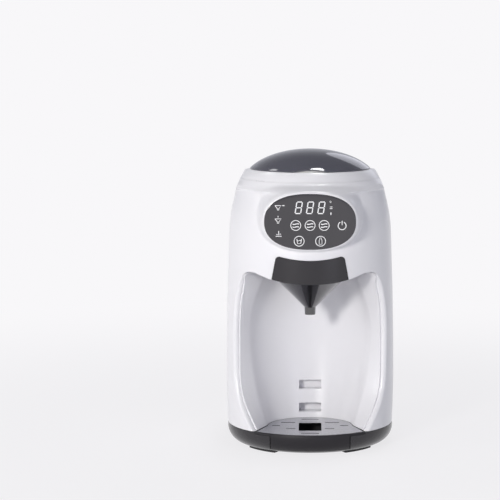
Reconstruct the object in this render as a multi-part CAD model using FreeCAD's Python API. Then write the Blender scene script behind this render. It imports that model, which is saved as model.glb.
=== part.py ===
import FreeCAD, Part
import math
import os

# Baby formula maker, in millimetres. The front faces -Y, +X is to the right seen from the front, +Z is up.
# The origin is the middle of the underside of the whole machine, on the surface it stands on.

Vec = FreeCAD.Vector
UP = Vec(0, 0, 1)

# Overall body: its plan is a stadium, two round ends joined by straight sides
body_radius = 95.0
front_axis_y = -35.0
rear_axis_y = 36.5
body_front_y = front_axis_y - body_radius
wall = 2.5
# Height and how far the outline lies inside the body radius there
outline_insets = ((24.0, 1.3), (70.0, 0.0), (110.0, 0.1), (165.0, 1.0), (230.0, 3.0),
                  (262.0, 5.3), (284.0, 10.0), (302.0, 16.8), (313.0, 26.0))
base_top_z = outline_insets[0][0]
collar_top_z = outline_insets[-1][0]
collar_seam_z = 303.0
rear_slope_angle = 5.1
casing_split_y = 8.0
housing_back_y = 60.0
fit_gap = 0.3
running_gap = 0.05

# Base tub and feet
foot_height = 2.5
foot_inner_radius = 70.0
foot_outer_radius = 79.0
foot_start_angle = 30.0
foot_end_angle = 60.0
foot_stud_radius = 3.0
foot_stud_length = 2.5
base_floor = 3.0
base_floor_top_z = foot_height + base_floor
base_bottom_radius = 80.5
base_bulge_radius = 89.2
base_bulge_z = 8.0
base_deck = 4.0
gland_x = -40.0
gland_z = 15.0
gland_radius = 5.0
lead_hole_radius = 3.2

# Bay: height, half width of its front edge, half width and depth of its crease, depth of its back
bay_stations = ((24.0, 62.0, 50.0, -72.0, -22.0), (60.0, 79.5, 60.5, -66.0, -17.0),
                (100.0, 83.5, 67.5, -62.0, -13.0), (145.0, 83.3, 68.5, -60.0, -12.0),
                (180.0, 79.5, 59.0, -62.0, -14.0), (216.0, 69.0, 43.0, -66.0, -20.0))
bay_wall = 2.2
slot_width = 25.5
slot_height = 10.2
slot_depth = 7.0
slot_low_z = 31.1
slot_pitch = 26.0
wall_slot_count = 2

# Head underside
head_floor_z = 196.5
head_floor_flat = 44.0
head_floor_rise = 0.34
head_floor_thickness = 2.5

# Control panel and its pod
panel_z = 262.0
panel_half_width = 50.0
panel_half_height = 30.6
panel_thickness = 1.8
panel_power = 2.35
pod_face_y = -131.5
pod_rim = 2.2
pod_root_y = -100.0
pod_draft = 10.0

# Powder funnel and its drawer
funnel_y = -77.0
spout_bottom_z = 152.6
spout_top_z = 160.8
spout_radius = 6.3
spout_tip_radius = 5.9
funnel_radius = 36.0
funnel_wall = 1.8
funnel_flange_radius = 38.5
funnel_flange = 2.0
carrier_half_width = 40.0
carrier_thickness = 1.9
carrier_back_y = -33.0
plate_top_z = 222.5
plate_top_dip = 4.0
plate_bottom_z = 197.0
plate_bottom_drop = 4.6
plate_top_half_width = 37.2
plate_bottom_half_width = 42.3
plate_proud = 0.4
plate_thickness = 2.6
rail_height = 5.0
rail_thickness = 2.2

# Drip tray
tray_wall = 2.0
tray_half_width = 44.0
tray_lip_gap = 0.6
tray_top_z = 24.6
tray_seat_z = 21.8
grille_thickness = 1.6
grille_rim = 1.6
slit_width = 2.6
# Row depth, then the near and far end of a slit on each side; a near end of zero is one slit in the middle
slit_rows = ((-36.0, 0.0, 10.0), (-54.4, 17.0, 33.0), (-72.0, 34.0, 43.0), (-89.8, 16.5, 27.0),
             (-115.0, 0.0, 10.0))
grille_hole_width = 25.5
grille_hole_front_y = -100.8
grille_hole_back_y = -57.3
hook_thickness = 4.0
hook_length = 6.0
hook_half_width = 12.0

# Powder container and its lid
container_radius = 62.0
container_wall = 2.5
container_floor_z = 237.0
container_top_z = 308.0
container_flange = 3.5
container_flange_thickness = 3.0
well_radius = 66.0
well_rim = 1.6
outlet_offset = 50.0
outlet_radius = 7.0
dome_centre_z = 293.0
dome_half_width = 78.0
dome_half_height = 42.0
dome_wall = 2.2
notch_half_width = 19.5
notch_height = 2.2
hinge_y = 34.5
hinge_z = 316.0
hinge_pin_radius = 1.5
knuckle_radius = 3.0
knuckle_half_width = 13.0
lug_width = 6.0
seal_inner_radius = 60.2
seal_outer_radius = 62.6

# Stirring and dosing
shaft_radius = 4.0
dog_flats = 8.0
dog_length = 9.0
dosing_wheel_radius = 58.0
dosing_wheel_height = 8.0
pocket_radius = 6.0
pocket_count = 8
mixing_hub_radius = 8.0
mixing_blade_count = 4
mixing_blade_length = 56.0
mixing_blade_height = 8.0
mixing_blade_thickness = 3.0

# Drive below the container
gear_module = 1.5
output_teeth = 48
pinion_teeth = 12
gear_width = 8.0
deck_z = 214.0
deck_thickness = 2.5
gear_z = 219.0
bearing_radius = 9.0
chute_wall = 2.0
motor_radius = 14.0
motor_length = 42.0
motor_shaft_radius = 2.0

# Water tank
tank_front_y = 62.0
tank_bottom_z = 40.0
tank_top_z = 286.0
tank_wall = 2.5
tank_lid_top_z = 306.0
shelf_top_z = 38.0
valve_y = 88.0
valve_radius = 11.0
valve_bore = 6.0
socket_radius = 16.0
float_x = 40.0
float_y = 78.0
float_radius = 8.0
float_height = 14.0
float_travel = 18.0
float_post_radius = 2.5

# Water path
pump_x = 34.0
pump_y = 26.0
pump_z = 60.0
pump_motor_radius = 13.0
pump_motor_length = 34.0
pump_head_radius = 17.0
pump_head_height = 16.0
impeller_radius = 11.0
heater_x = -30.0
heater_y = 26.0
heater_z = 66.0
heater_radius = 15.0
heater_length = 90.0
hose_radius = 4.0
hose_wall = 1.2
port_radius = 2.7
nozzle_x = -22.0
nozzle_y = -74.0
nozzle_radius = 5.0

# Boards and fasteners
board_thickness = 1.6
screw_radius = 1.5
screw_head_radius = 3.0
screw_head_height = 2.0
boss_radius = 4.0


def box(x0, x1, y0, y1, z0, z1):
    """Box between two corners."""
    return Part.makeBox(x1 - x0, y1 - y0, z1 - z0, Vec(x0, y0, z0))


def rod(x, y, z0, z1, radius):
    """Upright cylinder."""
    return Part.makeCylinder(radius, z1 - z0, Vec(x, y, z0), UP)


def tube(x, y, z0, z1, outer, inner):
    """Upright tube."""
    return rod(x, y, z0, z1, outer).cut(rod(x, y, z0 - 1, z1 + 1, inner))


def lying_rod(start, end, radius):
    """Cylinder from one point to another."""
    return Part.makeCylinder(radius, (end - start).Length, start, end - start)


def fuse(first, *others):
    """One solid out of several that touch."""
    return first.fuse(list(others)).removeSplitter()


def slab(z0, z1):
    """Everything between two heights."""
    return box(-200, 200, -200, 200, z0, z1)


def prism(wire, z0, z1):
    """Upright prism on a flat outline drawn at any height."""
    face = Part.Face(wire)
    face.translate(Vec(0, 0, z0 - wire.BoundBox.ZMin))
    return face.extrude(Vec(0, 0, z1 - z0))


def front_prism(wire, y0, y1):
    """Prism along Y on an outline drawn in the XZ plane."""
    face = Part.Face(wire)
    face.translate(Vec(0, y0 - wire.BoundBox.YMin, 0))
    return face.extrude(Vec(0, y1 - y0, 0))


def stadium_of(edges):
    """Solid whose half section, drawn from the axis in the XZ plane, runs round a stadium plan."""
    front_face = Part.Face(Part.Wire(Part.__sortEdges__(edges)))
    rear_face = front_face.copy()
    front_face.translate(Vec(0, front_axis_y, 0))
    rear_face.translate(Vec(0, rear_axis_y, 0))
    front = front_face.revolve(Vec(0, front_axis_y, 0), UP, -180)
    rear = rear_face.revolve(Vec(0, rear_axis_y, 0), UP, 180)
    right = front_face.extrude(Vec(0, rear_axis_y - front_axis_y, 0))
    left = right.mirror(Vec(0, 0, 0), Vec(1, 0, 0))
    return fuse(front, rear, right, left)


def outline_spline(inset):
    """Side outline of the body, moved inwards by inset."""
    points = [Vec(body_radius - drop - inset, 0, z) for z, drop in outline_insets]
    curve = Part.BSplineCurve()
    curve.interpolate(points)
    return curve


def closed_section(curve_edges, start, end):
    """Edges of a half section: the given curve, closed to the axis at both ends."""
    low = Part.makeLine(Vec(0, 0, start.z), start)
    high = Part.makeLine(end, Vec(0, 0, end.z))
    axis = Part.makeLine(Vec(0, 0, end.z), Vec(0, 0, start.z))
    return list(curve_edges) + [low, high, axis]


def body_solid(inset):
    """Body above the base, solid, moved inwards by inset."""
    edge = outline_spline(inset).toShape()
    return stadium_of(closed_section([edge], edge.Vertexes[0].Point, edge.Vertexes[-1].Point))


def base_solid(inset, floor_z):
    """Base below the body, solid, moved inwards by inset, from floor_z up."""
    top = Vec(body_radius - outline_insets[0][1] - inset, 0, base_top_z)
    bulge = Vec(base_bulge_radius - inset, 0, base_bulge_z)
    low = Vec(base_bottom_radius - inset, 0, foot_height)
    edge = Part.Arc(low, bulge, top).toShape()
    solid = stadium_of(closed_section([edge], edge.Vertexes[0].Point, edge.Vertexes[-1].Point))
    return solid.common(slab(floor_z, base_top_z))


def above_slope(depth):
    """Everything above the rear slope of the top lowered by depth, outside the rim round the lid."""
    run = 200.0
    fall = run * math.tan(math.radians(rear_slope_angle))
    low = collar_top_z - depth
    far_y = front_axis_y + run
    corners = [Vec(-run, front_axis_y, low), Vec(-run, far_y, low - fall), Vec(-run, far_y, 2 * run),
               Vec(-run, front_axis_y, 2 * run)]
    wedge = Part.Face(Part.makePolygon(corners + corners[:1])).extrude(Vec(2 * run, 0, 0))
    return wedge.cut(rod(0, front_axis_y, 0, 2 * run, well_radius + well_rim))


def outline_radius(z):
    """Body radius at a height."""
    curve = outline_spline(0.0)
    edge = curve.toShape()
    hit = edge.distToShape(Part.makeLine(Vec(0, 0, z), Vec(2 * body_radius, 0, z)))[1][0][0]
    return hit.x


def superellipse(half_width, half_height, y):
    """Closed outline |x/a|^n + |z/b|^n = 1 about the panel's middle, in the plane at y."""
    count = 32
    points = []
    for step in range(count):
        turn = 2 * math.pi * step / count
        c = math.cos(turn)
        s = math.sin(turn)
        x = half_width * math.copysign(abs(c) ** (2 / panel_power), c)
        z = half_height * math.copysign(abs(s) ** (2 / panel_power), s)
        points.append(Vec(x, y, panel_z + z))
    curve = Part.BSplineCurve()
    curve.interpolate(Points=points, PeriodicFlag=True)
    return Part.Wire([curve.toShape()])


def pod_solid(inset, back_y):
    """Raised oval pod behind the control panel, drafted towards the body."""
    face = superellipse(panel_half_width + pod_rim - inset, panel_half_height + pod_rim - inset, pod_face_y)
    root = superellipse(panel_half_width + pod_rim + pod_draft - inset,
                        panel_half_height + pod_rim + 0.7 * pod_draft - inset, pod_root_y)
    pod = Part.makeLoft([face, root], True, True)
    return pod.common(box(-200, 200, -200, back_y, 0, 400))


def bay_section(station, grow):
    """Plan outline of the bay at one height: a round back between two straight flared sides."""
    z, edge_x, crease_x, crease_y, back_y = station
    radius = outline_radius(min(max(z, base_top_z), collar_top_z))
    edge_y = front_axis_y - math.sqrt(radius ** 2 - edge_x ** 2)
    flare = Vec(edge_x - crease_x, edge_y - crease_y, 0).normalize()
    outward = Vec(-flare.y, flare.x, 0) * grow
    crease = Vec(crease_x, crease_y, z) + outward
    reach = (crease_y + 2 * body_radius) / -flare.y
    mouth = crease + flare * reach
    back = Vec(0, back_y + grow, z)
    left_crease = Vec(-crease.x, crease.y, z)
    left_mouth = Vec(-mouth.x, mouth.y, z)
    return Part.Wire([Part.makeLine(left_mouth, left_crease), Part.Arc(left_crease, back, crease).toShape(),
                      Part.makeLine(crease, mouth), Part.makeLine(mouth, left_mouth)])


def bay_loft(grow):
    """Hollow of the bay, grown by grow, up to its topmost station."""
    return Part.makeLoft([bay_section(station, grow) for station in bay_stations], True, False)


def head_underside(offset):
    """Everything below the underside of the head, moved up by offset."""
    low = Vec(-head_floor_flat, 0, head_floor_z + offset)
    side_x = 2 * body_radius
    side_z = head_floor_z + offset + head_floor_rise * (side_x - head_floor_flat)
    corners = [Vec(-side_x, 0, side_z), low, Vec(head_floor_flat, 0, low.z), Vec(side_x, 0, side_z),
               Vec(side_x, 0, -10), Vec(-side_x, 0, -10), Vec(-side_x, 0, side_z)]
    return front_prism(Part.makePolygon(corners), -200, 200)


def plate_prism(gap, y0, y1):
    """Front outline of the drawer plate, grown by gap, as a prism along Y."""
    top = plate_top_z + gap
    low = plate_bottom_z - gap
    top_x = plate_top_half_width + gap
    low_x = plate_bottom_half_width + gap
    rounding = 4.0
    corner = 0.3 * rounding
    left_top = Vec(-top_x + rounding, 0, top)
    right_top = Vec(top_x - rounding, 0, top)
    left_side = Vec(-top_x - corner, 0, top - rounding)
    right_side = Vec(top_x + corner, 0, top - rounding)
    left_low = Vec(-low_x, 0, low)
    right_low = Vec(low_x, 0, low)
    edges = [
        Part.Arc(left_top, Vec(0, 0, top - plate_top_dip), right_top).toShape(),
        Part.Arc(right_top, Vec(top_x - 0.1 * rounding, 0, top - 0.25 * rounding), right_side).toShape(),
        Part.makeLine(right_side, right_low),
        Part.Arc(right_low, Vec(0, 0, low - plate_bottom_drop), left_low).toShape(),
        Part.makeLine(left_low, left_side),
        Part.Arc(left_side, Vec(-top_x + 0.1 * rounding, 0, top - 0.25 * rounding), left_top).toShape(),
    ]
    return front_prism(Part.Wire(edges), y0, y1)


def gear(teeth, width, bore, x, y, z, phase):
    """Spur gear with straight-sided teeth and backlash, one tooth pointing at the phase angle."""
    pitch_radius = gear_module * teeth / 2
    root = pitch_radius - 1.3 * gear_module
    tip = pitch_radius + 0.85 * gear_module
    step = 2 * math.pi / teeth
    points = []
    for tooth in range(teeth):
        middle = math.radians(phase) + tooth * step
        for radius, share in ((root, -0.36), (tip, -0.11), (tip, 0.11), (root, 0.36)):
            turn = middle + share * step
            points.append(Vec(x + radius * math.cos(turn), y + radius * math.sin(turn), z))
    points.append(points[0])
    body = prism(Part.makePolygon(points), z, z + width)
    return body.cut(rod(x, y, z - 1, z + width + 1, bore))


def hexagon(x, y, z0, z1, flats):
    """Upright hexagonal bar of a given width across flats."""
    radius = flats / math.sqrt(3)
    points = [Vec(x + radius * math.cos(k * math.pi / 3), y + radius * math.sin(k * math.pi / 3), z0)
              for k in range(7)]
    return prism(Part.makePolygon(points), z0, z1)


def hose(points, bend):
    """Hose along straight runs joined by tangent arcs."""
    edges = []
    start = points[0]
    for before, corner, after in zip(points, points[1:], points[2:]):
        towards = (before - corner).normalize()
        away = (after - corner).normalize()
        half = towards.getAngle(away) / 2
        setback = bend / math.tan(half)
        arc_start = corner + towards * setback
        arc_end = corner + away * setback
        centre = corner + (towards + away).normalize() * (bend / math.sin(half))
        middle = centre + (corner - centre).normalize() * bend
        edges.append(Part.makeLine(start, arc_start))
        edges.append(Part.Arc(arc_start, middle, arc_end).toShape())
        start = arc_end
    edges.append(Part.makeLine(start, points[-1]))
    path = Part.Wire(edges)
    direction = points[1] - points[0]
    outer = Part.Wire([Part.makeCircle(hose_radius, points[0], direction)])
    inner = Part.Wire([Part.makeCircle(hose_radius - hose_wall, points[0], direction)])
    return path.makePipeShell([outer], True, False).cut(path.makePipeShell([inner], True, False))


def screw(x, y, z, length, direction):
    """Pan-head screw: its head's underside at the given point, its shank along direction."""
    head = Part.makeCylinder(screw_head_radius, screw_head_height, Vec(x, y, z), direction * -1)
    shank = Part.makeCylinder(screw_radius - running_gap, length, Vec(x, y, z), direction)
    return head.fuse(shank).removeSplitter()


# Shared places that several pieces use
body_outer = body_solid(0.0)
body_inner = body_solid(wall)
bay_hollow = bay_loft(0.0).common(head_underside(0.0))
collar_deck = wall
pinion_y = front_axis_y + gear_module * (output_teeth + pinion_teeth) / 2
outlet_y = front_axis_y - outlet_offset
tray_plan_station = bay_stations[0]
pocket_radius_gap = 0.8
pocket_wall = 2.0
base_screw_places = ((-80, 0), (80, 0), (-70, -62), (70, -62), (-70, 48), (70, 48))
front_deck_screw_places = ((-66, -50), (66, -50))
rear_deck_screw_places = ((-66, 2), (66, 2))
deck_screw_places = front_deck_screw_places + rear_deck_screw_places
motor_screw_offset = 9.0


def tray_plan(radius, front_y):
    """Plan of the tray's basin: a half round back and straight sides to the front."""
    centre_y = tray_plan_station[3]
    left = Vec(-radius, centre_y, 0)
    right = Vec(radius, centre_y, 0)
    return Part.Wire([Part.Arc(left, Vec(0, centre_y + radius, 0), right).toShape(),
                      Part.makeLine(right, Vec(radius, front_y, 0)),
                      Part.makeLine(Vec(radius, front_y, 0), Vec(-radius, front_y, 0)),
                      Part.makeLine(Vec(-radius, front_y, 0), left)])


def make_base():
    """Black tub: floor, rounded wall, pocket for the tray and a deck round it."""
    shell = base_solid(0.0, foot_height).cut(base_solid(wall, base_floor_top_z))
    pocket_inner = tray_half_width + pocket_radius_gap
    pocket_outer = pocket_inner + pocket_wall
    inside = base_solid(wall / 2, base_floor_top_z)
    pocket = prism(tray_plan(pocket_outer, -200), base_floor_top_z, base_top_z).common(inside)
    deck_plan = bay_section(tray_plan_station, bay_wall + 3.0)
    deck = prism(deck_plan, base_top_z - base_deck, base_top_z).common(inside)
    hollow = prism(tray_plan(pocket_inner, -200), base_floor_top_z, base_top_z + 5)
    hook_y = tray_plan_station[3] + pocket_inner
    slot = box(-slot_width / 2, slot_width / 2, hook_y - 3, hook_y + 6,
               base_floor_top_z + 1, base_floor_top_z + 9)
    lip_room = prism(bay_section(tray_plan_station, fit_gap - tray_lip_gap), tray_seat_z, base_top_z + 5)
    solid = fuse(shell, pocket, deck).cut(hollow).cut(slot).cut(lip_room)
    for x, y in base_screw_places:
        post = rod(x, y, base_floor_top_z - 1, base_top_z, boss_radius)
        solid = solid.fuse(post).removeSplitter()
        solid = solid.cut(rod(x, y, 0, 40, screw_radius + running_gap))
        solid = solid.cut(rod(x, y, 0, foot_height + screw_head_height + 1.0, screw_head_radius + 0.4))
    for side_x, side_y in foot_stud_places():
        solid = solid.cut(rod(side_x, side_y, 0, foot_height + foot_stud_length + 0.2,
                              foot_stud_radius + running_gap))
    gland_hole = lying_rod(Vec(gland_x, rear_axis_y + body_radius / 2, gland_z),
                           Vec(gland_x, rear_axis_y + 2 * body_radius, gland_z), gland_radius + running_gap)
    return solid.cut(gland_hole)


def foot_stud_places():
    """Middle of each of the four arc-shaped feet."""
    radius = (foot_inner_radius + foot_outer_radius) / 2
    turn = math.radians((foot_start_angle + foot_end_angle) / 2)
    places = []
    for axis_y, way in ((front_axis_y, -1), (rear_axis_y, 1)):
        for side in (-1, 1):
            places.append((side * radius * math.cos(turn), axis_y + way * radius * math.sin(turn)))
    return places


def make_feet():
    """Four arc-shaped rubber feet, each with a stud pressed up into the base."""
    sweep = foot_end_angle - foot_start_angle
    feet = []
    for axis_y, way in ((front_axis_y, -1), (rear_axis_y, 1)):
        for side in (-1, 1):
            profile = Part.Face(Part.makePolygon([Vec(foot_inner_radius, 0, 0), Vec(foot_outer_radius, 0, 0),
                                                  Vec(foot_outer_radius, 0, foot_height),
                                                  Vec(foot_inner_radius, 0, foot_height),
                                                  Vec(foot_inner_radius, 0, 0)]))
            pad = profile.revolve(Vec(0, 0, 0), UP, sweep)
            pad.rotate(Vec(0, 0, 0), UP, foot_start_angle)
            if side < 0:
                pad = pad.mirror(Vec(0, 0, 0), Vec(1, 0, 0))
            if way < 0:
                pad = pad.mirror(Vec(0, 0, 0), Vec(0, 1, 0))
            pad.translate(Vec(0, axis_y, 0))
            feet.append(pad)
    for x, y in foot_stud_places():
        stud = rod(x, y, foot_height - 0.5, foot_height + foot_stud_length, foot_stud_radius)
        near = min(range(4), key=lambda k: feet[k].distToShape(Part.Vertex(x, y, 1.0))[0])
        feet[near] = feet[near].fuse(stud).removeSplitter()
    return Part.makeCompound(feet)


def make_cord_gland():
    """Round gland in the base's rear wall where the mains lead would come in."""
    rear_y = rear_axis_y + math.sqrt((base_bulge_radius - 0.6) ** 2 - gland_x ** 2)
    start = Vec(gland_x, rear_y - 6, gland_z)
    inner = Vec(gland_x, rear_y - 9, gland_z)
    end = Vec(gland_x, rear_y + 6, gland_z)
    body = lying_rod(start, end, gland_radius)
    flange = lying_rod(inner, start, gland_radius + 2.5)
    return fuse(body, flange).cut(lying_rod(inner - Vec(0, 5, 0), end + Vec(0, 5, 0), lead_hole_radius))


def boss_rib(x, y):
    """Rib from a screw boss out to the casing's wall."""
    side = math.copysign(body_radius + 5, x)
    rib = box(min(x, side), max(x, side), y - 1.2, y + 1.2, base_top_z, base_top_z + 12)
    return rib.common(body_solid(wall / 2))


def drawer_opening():
    """Space that the drawer plate and carrier pass through in the front casing."""
    return plate_prism(fit_gap + 0.2, -200, front_axis_y - 50)


def make_front_casing():
    """White front shell with the bay's opening, the control pod and the drawer opening."""
    outer = body_outer.fuse(pod_solid(0.0, front_axis_y - 40))
    inner = body_inner.fuse(pod_solid(wall, front_axis_y - 40))
    shell = outer.cut(inner).common(slab(base_top_z, collar_seam_z))
    shell = shell.common(box(-200, 200, -200, casing_split_y, 0, 400))
    shell = shell.cut(bay_hollow).cut(drawer_opening())
    panel_room = front_prism(superellipse(panel_half_width + fit_gap / 2, panel_half_height + fit_gap / 2, 0),
                             pod_face_y - 1, pod_face_y + panel_thickness)
    window = front_prism(superellipse(panel_half_width - 3, panel_half_height - 3, 0),
                         pod_face_y - 1, pod_face_y + wall + 4)
    pod_front = front_prism(superellipse(panel_half_width + pod_rim, panel_half_height + pod_rim, 0),
                            pod_face_y, pod_face_y + wall + 1.5)
    shell = shell.fuse(pod_front.common(pod_solid(0.0, 0))).cut(panel_room).cut(window)
    for x, y in base_screw_places:
        if y < casing_split_y:
            boss = rod(x, y, base_top_z, base_top_z + 14, boss_radius)
            shell = shell.fuse(boss.fuse(boss_rib(x, y))).cut(rod(x, y, 0, base_top_z + 11, screw_radius))
    for x, y in rear_deck_screw_places:
        side = math.copysign(body_radius + 5, x)
        arm = box(min(x, side), max(x, side), y - 3, y + 3, deck_z - 8, deck_z).common(body_solid(wall / 2))
        boss = rod(x, y, deck_z - 8, deck_z, boss_radius)
        shell = shell.fuse(boss.fuse(arm)).cut(rod(x, y, deck_z - 7, deck_z + 1, screw_radius))
    return shell.removeSplitter()


def make_bay_liner():
    """Scooped wall of the bay, with two hook slots backed by closed pockets."""
    liner = bay_loft(bay_wall).cut(bay_loft(0.0)).common(head_underside(-fit_gap / 3))
    liner = liner.common(body_inner)
    for index in range(wall_slot_count):
        low = slot_low_z + index * slot_pitch
        pocket = box(-slot_width / 2 - 2, slot_width / 2 + 2, -19, -19 + slot_depth + 6,
                     low - 2, low + slot_height + 2)
        liner = liner.fuse(pocket.cut(bay_loft(0.4)))
    for index in range(wall_slot_count):
        low = slot_low_z + index * slot_pitch
        liner = liner.cut(box(-slot_width / 2, slot_width / 2, -40, -19 + slot_depth + 4,
                              low, low + slot_height))
    return liner.removeSplitter()


def make_head_floor():
    """Underside of the head, with the drawer's channel and its two guide rails."""
    floor = head_underside(head_floor_thickness).cut(head_underside(0.0))
    floor = floor.common(body_inner).common(box(-200, 200, -200, -12, 0, 400))
    channel = funnel_radius + 0.8
    back = funnel_y + channel
    cut = fuse(rod(0, funnel_y, 0, 400, channel), box(-channel, channel, -200, funnel_y, 0, 400))
    top = head_floor_z + head_floor_thickness
    rail_x = carrier_half_width + 0.5
    rails = [box(side * rail_x if side > 0 else -rail_x - rail_thickness,
                 side * rail_x + rail_thickness if side > 0 else -rail_x,
                 -108, back - 4, top - 0.5, top + rail_height) for side in (-1, 1)]
    solid = fuse(floor, *rails).cut(cut)
    for x, y in front_deck_screw_places:
        post = rod(x, y, head_floor_z, deck_z, boss_radius).cut(head_underside(head_floor_thickness / 2))
        solid = solid.fuse(post).cut(rod(x, y, deck_z - 7, deck_z + 1, screw_radius))
    return solid.removeSplitter()


def make_rear_casing():
    """White rear shell with the wall behind the works and the shelf under the tank."""
    shell = body_outer.cut(body_inner).common(slab(base_top_z, collar_seam_z))
    shell = shell.common(box(-200, 200, casing_split_y, housing_back_y, 0, 400))
    rear_wall = body_outer.common(box(-200, 200, housing_back_y - wall, housing_back_y,
                                      base_top_z, collar_seam_z))
    shelf = body_outer.cut(body_inner.common(slab(0, shelf_top_z - wall)))
    shelf = shelf.common(box(-200, 200, housing_back_y - wall, 200, base_top_z, shelf_top_z))
    solid = fuse(shell, rear_wall, shelf)
    solid = solid.cut(rod(0, valve_y, 0, shelf_top_z + 1, socket_radius - 4))
    solid = solid.cut(lying_rod(Vec(0, 40, 30), Vec(0, 70, 30), hose_radius + 0.5))
    for x, y in base_screw_places:
        if y > casing_split_y:
            boss = rod(x, y, base_top_z, base_top_z + 14, boss_radius)
            solid = solid.fuse(boss.fuse(boss_rib(x, y))).cut(rod(x, y, 0, base_top_z + 11, screw_radius))
    return solid.removeSplitter()


def make_top_collar():
    """White ring at the top with the well that the powder container sits in."""
    outer = body_outer.common(slab(collar_seam_z, collar_top_z)).cut(above_slope(0.0))
    hollow = body_inner.common(slab(0, collar_top_z - collar_deck)).cut(above_slope(collar_deck))
    rear = outer.common(box(-200, 200, housing_back_y - wall, housing_back_y, collar_seam_z, collar_top_z))
    ring = outer.cut(hollow).common(box(-200, 200, -200, housing_back_y, 0, 400)).fuse(rear)
    ledge_top = container_top_z - container_flange_thickness - fit_gap
    rim_radius = well_radius + well_rim
    well = tube(0, front_axis_y, ledge_top - 3, collar_top_z, rim_radius, well_radius).common(body_outer)
    ledge = tube(0, front_axis_y, ledge_top - 3, ledge_top, rim_radius, container_radius + 0.8)
    notch_x = knuckle_half_width + lug_width + 3.0
    tub = box(-notch_x - 2, notch_x + 2, front_axis_y + 60, hinge_y + 8, ledge_top - 3, collar_top_z)
    tub = tub.cut(above_slope(0.0))
    hole = rod(0, front_axis_y, collar_seam_z - 10, collar_top_z + 1, container_radius + 0.8)
    well_hole = rod(0, front_axis_y, ledge_top, collar_top_z + 1, well_radius)
    notch = box(-notch_x, notch_x, front_axis_y + 60, hinge_y + 6, ledge_top, collar_top_z + 1)
    return fuse(ring, well, ledge, tub).cut(hole).cut(well_hole).cut(notch)


def dome_solid(inset):
    """Solid half dome, moved inwards by inset."""
    half_width = dome_half_width - inset
    half_height = dome_half_height - inset
    steps = 6
    points = [Vec(half_width * math.cos(math.pi / 2 * k / steps), 0,
                  dome_centre_z + half_height * math.sin(math.pi / 2 * k / steps)) for k in range(steps + 1)]
    curve = Part.BSplineCurve()
    curve.interpolate(Points=points, InitialTangent=Vec(0, 0, 1), FinalTangent=Vec(-1, 0, 0))
    edge = curve.toShape()
    side = Part.makeLine(Vec(0, 0, dome_centre_z), Vec(half_width, 0, dome_centre_z))
    axis = Part.makeLine(Vec(0, 0, dome_centre_z + half_height), Vec(0, 0, dome_centre_z))
    face = Part.Face(Part.Wire(Part.__sortEdges__([side, edge, axis])))
    face.translate(Vec(0, front_axis_y, 0))
    return face.revolve(Vec(0, front_axis_y, 0), UP, 360)


def make_dome_lid():
    """Smoked lid: thin dome, rim ring, finger notch in front and hinge knuckle behind."""
    low = collar_top_z + fit_gap
    shell = dome_solid(0.0).cut(dome_solid(dome_wall)).common(slab(low, 400))
    holder = tube(0, front_axis_y, low, low + 2.6, 66.5, seal_outer_radius + 0.1).common(dome_solid(0.4))
    roof = tube(0, front_axis_y, low + 1.6, low + 2.6, 67.0, seal_inner_radius - 2).common(dome_solid(0.4))
    knuckle = Part.makeCylinder(knuckle_radius, 2 * knuckle_half_width,
                                Vec(-knuckle_half_width, hinge_y, hinge_z), Vec(1, 0, 0))
    web = box(-knuckle_half_width, knuckle_half_width, hinge_y - 6, hinge_y, hinge_z - 2.2, hinge_z + 1.5)
    solid = fuse(shell, holder, roof, knuckle, web.cut(rod(0, front_axis_y, 0, 400, 64.6)))
    pin_hole = Part.makeCylinder(hinge_pin_radius + running_gap, 60, Vec(-30, hinge_y, hinge_z), Vec(1, 0, 0))
    rise = (notch_half_width ** 2 - notch_height ** 2) / (2 * notch_height)
    notch = Part.makeCylinder(rise + notch_height, 40, Vec(0, front_axis_y - 90, low - rise), Vec(0, 1, 0))
    return solid.cut(pin_hole).cut(notch)


def make_lid_seal():
    """Soft ring in the lid that closes on the container's rim."""
    low = container_top_z + 0.3
    high = collar_top_z + fit_gap + 1.6
    return tube(0, front_axis_y, low, high, seal_outer_radius, seal_inner_radius)


def make_powder_container():
    """Round cup with a rim flange, hinge lugs behind and an outlet in its floor."""
    outer = rod(0, front_axis_y, container_floor_z, container_top_z, container_radius)
    inside_radius = container_radius - container_wall
    inside = rod(0, front_axis_y, container_floor_z + 3, container_top_z + 1, inside_radius)
    flange = rod(0, front_axis_y, container_top_z - container_flange_thickness, container_top_z,
                 container_radius + container_flange)
    lugs = []
    pin_holes = []
    for side in (-1, 1):
        near = side * (knuckle_half_width + 0.5)
        far = near + side * lug_width
        low_x = min(near, far)
        arm = box(low_x, low_x + lug_width, front_axis_y + 60, hinge_y + 3,
                  container_top_z - container_flange_thickness, hinge_z)
        arm = arm.cut(rod(0, front_axis_y, container_top_z, 400, 66.9))
        head = Part.makeCylinder(knuckle_radius, lug_width, Vec(low_x, hinge_y, hinge_z), Vec(1, 0, 0))
        arm = arm.cut(box(-40, 40, 0, hinge_y - 0.7 * knuckle_radius, collar_top_z - 1, 400))
        lugs.append(arm.fuse(head))
        pin_holes.append(Part.makeCylinder(hinge_pin_radius + 0.01, lug_width + 2,
                                           Vec(low_x - 1, hinge_y, hinge_z),
                                           Vec(1, 0, 0)))
    solid = fuse(outer, flange, *lugs).cut(inside)
    for hole in pin_holes:
        solid = solid.cut(hole)
    solid = solid.cut(rod(0, front_axis_y, 0, 400, shaft_radius + running_gap))
    return solid.cut(rod(0, outlet_y, 0, container_floor_z + 4, outlet_radius))


def make_hinge_pin():
    """Steel pin through the container's lugs and the lid's knuckle."""
    half = knuckle_half_width + 0.5 + lug_width
    return Part.makeCylinder(hinge_pin_radius, 2 * half, Vec(-half, hinge_y, hinge_z), Vec(1, 0, 0))


dosing_low_z = container_floor_z + 3 + fit_gap
dosing_top_z = dosing_low_z + dosing_wheel_height


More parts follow.
